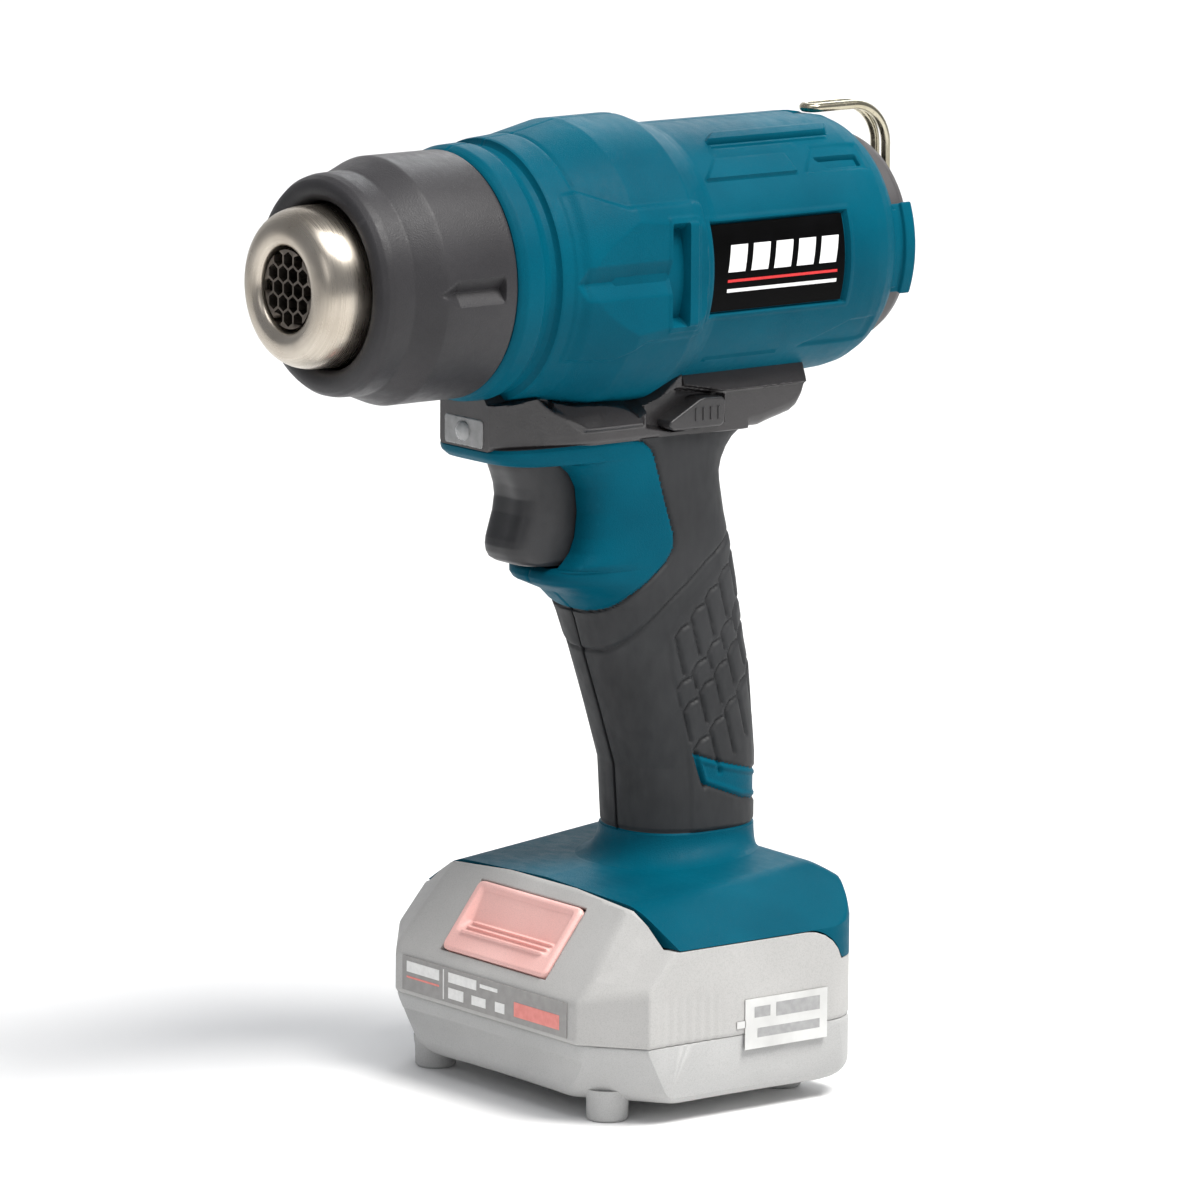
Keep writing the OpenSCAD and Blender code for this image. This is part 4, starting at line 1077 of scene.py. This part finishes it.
def foot_outline():
    """Closed outline of the foot from above, with evenly spaced points."""
    half = [(-33.2, 0), (-33.2, FOOT_RIDGE), (-35.2, FOOT_HALF), *corner_arc(FOOT_CORNER), (FOOT_BACK, 0)]
    loop = np.array(mirrored(half) + half[:1])
    length = np.concatenate([[0], np.cumsum(np.hypot(*np.diff(loop, axis=0).T))])
    stops = np.linspace(0, length[-1], FOOT_POINTS, endpoint=False)
    return np.stack([np.interp(stops, length, loop[:, 0]), np.interp(stops, length, loop[:, 1])], 1)


def soft_min(a, b, width):
    """The lower of two heights, with a rounded crease."""
    h = np.clip(0.5 + 0.5 * (b - a) / width, 0, 1)
    return b * (1 - h) + a * h - width * h * (1 - h)


def foot_height(x, y):
    """Top of the foot: a roof with a ridge on each side, and a rounded drop at the back."""
    side = np.abs(y)
    top = -157.9 - 0.1 * (x + 33) - 0.04 * side
    ridge = -159.4 - 0.1 * (x + 33)
    slope = ridge + (side - FOOT_RIDGE) / (FOOT_HALF - FOOT_RIDGE) * (FOOT_LOW - ridge)
    over = np.hypot(np.minimum(x - CORNER_X, 0), np.maximum(side - CORNER_Y, 0))
    edge = np.where(x < CORNER_X, FOOT_CORNER - over, x - FOOT_BACK)
    rear = np.where(edge < 1.4, -166.4 + 6.2 * edge, -157.7 + 0.72 * (edge - 1.4))
    return soft_min(soft_min(top, slope, 2.2), rear, 2.0)


def foot_underside(x):
    """Lower edge of the foot, which steps down behind the pack's rounded shoulder."""
    step = -180.6 + np.sqrt(np.clip(12.6**2 - np.clip(-76 - x, 0, 12.0) ** 2, 0, None))
    return np.where(x < -87.9, -176.4, step)


def foot():
    outline = foot_outline()
    rings = []
    for share in np.concatenate([np.linspace(0.02, 0.9, 62), np.linspace(0.91, 1.0, 18)]):
        plan = FOOT_MIDDLE + (outline - FOOT_MIDDLE) * share
        rings.append(np.column_stack([plan, foot_height(plan[:, 0], plan[:, 1])]))
    low = foot_underside(outline[:, 0])
    edge = rings[-1][:, 2]
    for share in (0.04, 0.5, 1.0):
        rings.append(np.column_stack([outline, edge + (np.minimum(low, edge - 0.1) - edge) * share]))
    for share in (0.97, 0.6, 0.02):
        plan = FOOT_MIDDLE + (outline - FOOT_MIDDLE) * share
        under = np.minimum(foot_underside(plan[:, 0]), foot_height(plan[:, 0], plan[:, 1]) - 0.1)
        rings.append(np.column_stack([plan, under]))
    mesh = skin("foot", np.array(rings), caps=(0, -1))
    rails = prism("rails", box_outline(-92, -20, -166, -161.6), 1, -24.5, 24.5)
    neck = prism("neck", box_outline(-84, -20, -180, -162), 1, -20.5, 20.5)
    mesh = cut(mesh, [rails, neck])
    place_object("foot_shell", mesh, "teal_shell", "tool", 38)


COLLAR_OUT = 8.5
COLLAR_TOP = -148.2
COLLAR_GAP = 0.15
COLLAR_MIDDLE = -75


def collar():
    """Fillet from the end of the rubber down onto the foot."""
    base, _ = handle_half_section(-150.0)
    x, y = base[:161, 0], base[:161, 1]
    nx, ny = outward(x, y, COLLAR_MIDDLE)
    rows = []
    share = 0.16 + 0.84 * ramp(nx, -0.9, 0.1)
    wide_x = x + nx * (COLLAR_OUT * share + COLLAR_GAP)
    wide_y = np.maximum(y + ny * (COLLAR_OUT * share + COLLAR_GAP), 0)
    fall = COLLAR_TOP - foot_height(wide_x, wide_y) + 0.12
    for t in np.radians(np.linspace(0, 90, 22)):
        out = COLLAR_OUT * (1 - math.cos(t)) * share + COLLAR_GAP
        px = x + nx * out
        py = np.maximum(y + ny * out, 0)
        pz = COLLAR_TOP - fall * math.sin(t)
        half = np.column_stack([px, py, pz])
        rows.append(np.concatenate([half, half[-2:0:-1] * MIRROR]))
    mesh = skin("handle_collar", np.array(rows), caps=(0, -1))
    place_object("handle_collar", mesh, "teal_shell", "tool", 50)


# ---------------------------------------------------------------- latch on the pack's slope

LATCH_CENTRE = (-22.4, -169.9)
LATCH_SLOPE = math.atan2(21.5, 16.8)
LATCH_LEN = 20.5
LATCH_HALF = 22.0
LATCH_ROUND = 2.2


def latch_height(u, v):
    """Face of the latch: a rim, a scooped upper part that ends in ridges, and a plain lower part."""
    scoop = between(u, -9.0, -7.6, 3.6, 5.2) * (1 - ramp(np.abs(v), 18.4, 20.0))
    deep = 0.7 + 1.7 * np.clip((u + 8) / 8.5, 0, 1) - 2.0 * np.clip((u - 0.5) / 4, 0, 1)
    ridges = np.exp(-((np.mod(u - 0.2, 1.7) - 0.85) / 0.42) ** 2) * between(u, -0.1, 0.4, 4.6, 5.2)
    ridges = ridges * (1 - ramp(np.abs(v), 16.4, 17.6))
    return 0.4 - scoop * deep + ridges


LATCH_STEPS = 130


def latch():
    rows = []
    for u in np.linspace(-LATCH_LEN / 2, LATCH_LEN / 2, 120):
        end = min(LATCH_LEN / 2 - abs(u), LATCH_ROUND)
        half = LATCH_HALF - LATCH_ROUND + math.sqrt(LATCH_ROUND**2 - (LATCH_ROUND - end) ** 2)
        v = np.linspace(-half, half, LATCH_STEPS)
        fall = np.minimum(half - np.abs(v), LATCH_LEN / 2 - abs(u))
        h = latch_height(np.full(LATCH_STEPS, u), v) - 0.7 * (1 - ramp(fall, -0.2, 0.8))
        v = np.concatenate([v, [half, -half]])
        h = np.concatenate([h, [-3.0, -3.0]])
        x = LATCH_CENTRE[0] + u * math.cos(LATCH_SLOPE) + h * math.sin(LATCH_SLOPE)
        z = LATCH_CENTRE[1] - u * math.sin(LATCH_SLOPE) + h * math.cos(LATCH_SLOPE)
        rows.append(np.column_stack([x, v, z]))
    mesh = skin("latch_face", np.array(rows), caps=(0, -1))
    place_object("latch_face", mesh, "latch_plastic", "latch", 45, replaced=("latch_button",))


# ---------------------------------------------------------------- battery pack

PACK_FRONT = -13.8
PACK_SEAM = -192.3
PACK_LOW = -208.2
PACK_MIDDLE = (-54.0, 0.0)
FOOT_SPOTS = [(-25.4, 36.6), (-25.4, -36.6), (-84, 33), (-84, -33)]


def pack_reach(turn, inset):
    """Distance from the pack's middle to its outline from above, in each direction."""
    half = [
        (PACK_FRONT - inset, 0), (PACK_FRONT - inset, 38.4 - inset * 0.5),
        (PACK_FRONT - 12 - inset * 0.3, FOOT_HALF - inset), *corner_arc(FOOT_CORNER - inset),
        (FOOT_BACK + inset, 0),
    ]
    loop = np.array(mirrored(half)) - PACK_MIDDLE
    angle = np.unwrap(np.arctan2(loop[:, 1], loop[:, 0]))
    # exact crossing of each ray with the side of the outline that it meets
    out = np.empty(len(turn))
    starts = np.mod(angle, 2 * math.pi)
    ends = np.roll(starts, -1)
    for k, t in enumerate(turn):
        inside_side = np.mod(t - starts, 2 * math.pi) <= np.mod(ends - starts, 2 * math.pi)
        i = int(np.argmax(inside_side))
        a, b = loop[i], loop[(i + 1) % len(loop)]
        way = np.array([math.cos(t), math.sin(t)])
        edge = b - a
        out[k] = (a[0] * edge[1] - a[1] * edge[0]) / (way[0] * edge[1] - way[1] * edge[0])
    return out


def plane_reach(turn, z, point, normal):
    """Distance from the pack's middle to a slanted plane at height z, in each direction."""
    way = normal[0] * np.cos(turn) + normal[1] * np.sin(turn)
    start = (*PACK_MIDDLE, z)
    room = sum(n * (p - c) for n, p, c in zip(normal, point, start))
    return np.where(way > 0.02, room / np.maximum(way, 0.02), 400.0)


UPPER_PLANES = [
    ((-31.1, 0, -159.6), (0.788, 0, 0.616)), ((-31.1, 37.7, -160.4), (0.6764, 0.4352, 0.5941)),
    ((-31.1, -37.7, -160.4), (0.6764, -0.4352, 0.5941))
]
LOWER_PLANES = [
    ((-13.8, 38.4, -193), (0.7056, 0.5607, -0.4332)), ((-13.8, -38.4, -193), (0.7056, -0.5607, -0.4332)),
    ((-15.4, 0, -196.6), (0.985, 0, -0.17))
]


def pack_envelope(name, levels, planes, edge_inset, soft):
    """Rounded solid that the pack's shells are cut to."""
    turn = circle(620)
    rows = []
    for z in levels:
        reach = pack_reach(turn, 0.02)
        for point, normal in planes:
            reach = soft_min(reach, plane_reach(turn, z, point, normal), soft)
        reach = reach - edge_inset(z)
        x = PACK_MIDDLE[0] + reach * np.cos(turn)
        y = PACK_MIDDLE[1] + reach * np.sin(turn)
        # faint upright ribs on the sides, behind the front corner
        ribs = (
            band(x, -49, -29, 2) * (0.5 + 0.5 * np.cos(2 * math.pi * x / 2.9)) * (np.abs(y) > FOOT_HALF - 1)
            * float(band(z, -205, -180, 4))
        )
        y = y - np.sign(y) * 0.3 * ribs
        rows.append(np.column_stack([x, y, np.full(len(x), z)]))
    return skin(name, np.array(rows), caps=(0, -1))


def shell_of(node):
    """Copy of a CAD node's mesh in frame coordinates."""
    source = frame["nodes"][node]
    mesh = source.data.copy()
    mesh.materials.clear()
    mesh.transform(source.matrix_world)
    tidy_normals(mesh)
    return mesh


# Way in which the latch is pressed, and the share by which its spring is drawn shorter
PRESS_WAY = np.array([-0.78797, 0, -0.61572])
COIL_SHORTENED = 0.45


def latch_coil():
    """The latch spring, short enough to stay behind the pressed button."""
    mesh = shell_of("latch_spring")
    points = np.array([v.co for v in mesh.vertices])
    depth = points @ PRESS_WAY
    points += np.outer((depth.max() - depth) * COIL_SHORTENED, PRESS_WAY)
    mesh.vertices.foreach_set("co", points.ravel())
    place_object("latch_coil", mesh, "spring_steel", "battery", replaced=("latch_spring",))


def pack():
    upper_levels = np.concatenate([
        np.linspace(PACK_SEAM - 0.4, PACK_SEAM + 1.2, 5), np.linspace(-189.6, -158.6, 44), [-158.2, -157.9],
    ])
    upper = pack_envelope(
        "upper", upper_levels, UPPER_PLANES,
        lambda z: 0.45 * float(np.clip((PACK_SEAM + 0.9 - z) / 0.9, 0, 1)), 1.3
    )
    lower_levels = np.concatenate([
        np.linspace(PACK_LOW - 0.3, PACK_LOW + 6, 16), np.linspace(-201.4, -193.8, 14),
        [-193.2, -192.8, PACK_SEAM + 0.2],
    ])

    def low_inset(z):
        rounding = 5.0
        depth = float(np.clip(PACK_LOW + rounding - z, 0, rounding))
        seam = 0.4 * float(np.clip((z - PACK_SEAM + 0.8) / 0.8, 0, 1))
        return rounding - math.sqrt(rounding**2 - depth**2) + seam

    lower = pack_envelope("lower", lower_levels, LOWER_PLANES, low_inset, 1.6)
    for name, node, envelope, look in (
        ("pack_top", "pack_upper_shell", upper, "pack_plastic"),
        ("pack_tray", "pack_lower_shell", lower, "pack_lower_plastic"),
    ):
        mesh = cut(shell_of(node), [envelope], "INTERSECT")
        place_object(name, mesh, look, "battery", 30, replaced=(node,))


def pack_feet():
    """Round feet down to the floor of the frame."""
    bottom = cad_low.z * PER_MM - ORIGIN[2]
    ring = [
        (2.9, bottom + 3), (2.9, bottom + 0.3), (3.2, bottom), (4.7, bottom), (5.25, bottom + 0.6),
        (5.35, PACK_LOW + 0.6), (5.6, PACK_LOW + 2.2), (5.7, PACK_LOW + 3.4), (2.9, PACK_LOW + 3.4),
    ]
    turn = circle(64)
    for i, (x, y) in enumerate(FOOT_SPOTS):
        grid = np.array([[[x + r * math.cos(t), y + r * math.sin(t), z] for t in turn] for r, z in ring])
        name = "pack_foot_%d" % (i + 1)
        place_object(name, skin(name, grid, close_rows=True), "pack_lower_plastic", "battery", 40)


# ---------------------------------------------------------------- labels

LABEL_R = 33.1
LABEL_FRONT = -64.4
LABEL_SPAN = (LABEL_FRONT, -99.6)


def curved_mark(name, low_edge, high_edge, material, side):
    """Thin printed bar on the side label. Each edge is (x from, x to, z)."""
    rows = []
    for share in np.linspace(0, 1, 9):
        start, end, z = (a + (b - a) * share for a, b in zip(low_edge, high_edge))
        reach_in, reach_out = (math.sqrt(r * r - z * z) for r in (LABEL_R - 0.1, LABEL_R + 0.06))
        corners = ((start, reach_in), (start, reach_out), (end, reach_out), (end, reach_in))
        rows.append([[x, side * reach, z] for x, reach in corners])
    place_object(name, skin(name, np.array(rows), caps=(0, -1)), material, "tool")


def side_marks():
    """Plain slanted bars and lines in place of lettering."""
    for side, tag in ((1, "left"), (-1, "right")):
        for i in range(5):
            x = LABEL_FRONT - 7.3 * i
            curved_mark(
                "label_bar_%s_%d" % (tag, i + 1), (x, x - 5.4, -1.0), (x - 1.2, x - 6.6, 5.8),
                "print_white", side
            )
        curved_mark("label_stripe_" + tag, (*LABEL_SPAN, -3.6), (*LABEL_SPAN, -2.9), "print_red", side)
        curved_mark("label_rule_" + tag, (*LABEL_SPAN, -6.2), (*LABEL_SPAN, -5.3), "print_white", side)


def flat_mark(name, box, axis, levels, look):
    """Thin rectangle on the pack. box is from, to, low, high."""
    mesh = prism(name, box_outline(*box), axis, *sorted(levels))
    place_object(name, mesh, look, "battery")


FRONT_MARKS = {
    "print_pale": [
        (-33, -19, -186.0, -183.2), (-17.3, -16.9, -190.4, -182.6), (-15, -3, -185.6, -183.0),
        (-1.5, 6, -184.6, -183.6), (-15, -8.5, -189.8, -187.0), (-5, 1, -189.6, -187.2),
        (5, 9, -189.6, -187.0),
    ],
    "print_rose": [(-33, -19, -187.6, -187.1), (13, 32, -189.4, -185.6)],
}
SIDE_PRINT = [(-80, -66, -188.6, -185), (-80, -60, -193.4, -191), (-64, -59, -188.2, -185.4)]
SIDE_TAB = (-56.2, -53.4, -190.4, -188.6)
# Where the marks start and end, outward from the middle of the pack
FRONT_LAYER = (-13.5, -13.42)
PRINT_LAYER = (53.74, 53.82)
TAB_LAYER = (53.5, 53.75)


def pack_marks():
    """Plain bars on the pack's front label and on its side labels."""
    for look, boxes in FRONT_MARKS.items():
        for i, box in enumerate(boxes):
            flat_mark("%s_%d" % (look, i + 1), box, 0, FRONT_LAYER, look)
    for side, tag in ((1, "left"), (-1, "right")):
        for i, box in enumerate(SIDE_PRINT):
            name = "side_print_%s_%d" % (tag, i + 1)
            flat_mark(name, box, 1, [side * y for y in PRINT_LAYER], "label_ink")
        tab_levels = [side * y for y in TAB_LAYER]
        flat_mark("side_label_tab_" + tag, SIDE_TAB, 1, tab_levels, "silver_label")


barrel_skin()
rear_tabs()
nozzle_guard()
nozzle()
sieve()
handle()
saddle()
lock_button()
lock_ribs()
led_lens()
trigger()
foot()
collar()
pack()
pack_feet()
latch_coil()
latch()
side_marks()
pack_marks()

# ---------------------------------------------------------------- carried-over CAD nodes

# Look, then the CAD nodes that have it
CAD_LOOKS = {
    "shield_steel": ("heat_shield",),
    "mica": ("mica_sleeve",),
    "ceramic_former": ("heater_core", "heater_mount"),
    "resistance_wire": ("heater_coil",),
    "cutout_case": ("thermal_cutout",),
    "duct_plastic": ("air_duct", "motor_mount"),
    "fan_plastic": ("fan_impeller",),
    "shaft_steel": ("fan_shaft",),
    "motor_steel": ("motor_can",),
    "magnet_ceramic": ("motor_magnets",),
    "armature_copper": ("motor_armature",),
    "black_plastic": ("motor_end_cap", "dust_screen", "switch_module", "terminal_block"),
    "cap_plastic": ("rear_cap",),
    "hook_wire": ("hook",),
    "label_face": ("label_left", "label_right"),
    "circuit_board": ("led_board", "control_board", "pack_board"),
    "spring_steel": ("trigger_spring",),
    "lead_insulation": ("power_leads",),
    "contact_brass": ("terminal_blades", "pack_contacts"),
    "screw_steel": ("housing_screws", "pack_screws"),
    "cell_case": ("pack_cells",),
    "nickel_strip": ("cell_strips",),
    "pack_label": ("pack_label_front",),
    "silver_label": ("pack_labels_side",),
}

for look, nodes in CAD_LOOKS.items():
    for node in nodes:
        mesh = frame["nodes"][node].data
        mesh.materials.clear()
        mesh.materials.append(MATERIALS[look])
bevel(frame["nodes"]["rear_cap"], 0.5, 3, 25, weld=True)

# ---------------------------------------------------------------- floor


def add_floor():
    width, back_rise = 3.0, 1.5
    low = cad_low.z
    xs = np.linspace(-width, width, 25)
    path = [(t, low) for t in np.linspace(width, -1.2, 20)]
    path += [(-1.2 - math.sin(a), low + 1 - math.cos(a)) for a in np.linspace(0.05, math.pi / 2, 20)]
    path += [(-2.2, low + 1 + back_rise)]
    right, _, back = camera_axes()
    flat_back = Vector((back.x, back.y, 0)).normalized()
    points = []
    for depth, height in path:
        for x in xs:
            p = right * x + flat_back * depth
            points.append((p.x, p.y, height))
    mesh = bpy.data.meshes.new("floor")
    mesh.from_pydata(points, [], grid_faces(len(path), len(xs), close_columns=False).tolist())
    mesh.shade_smooth()
    s = Shade("floor_paper", 0.7)
    tone = s.spread(s.noise(0.004, 3.0))
    s.bump(s.noise(0.8, 3.0), 0.1, 0.05)
    mesh.materials.append(s.finish(s.mix(tone, (0.86, 0.86, 0.86, 1), (0.9, 0.9, 0.9, 1))))
    new_object("floor", mesh)


add_floor()
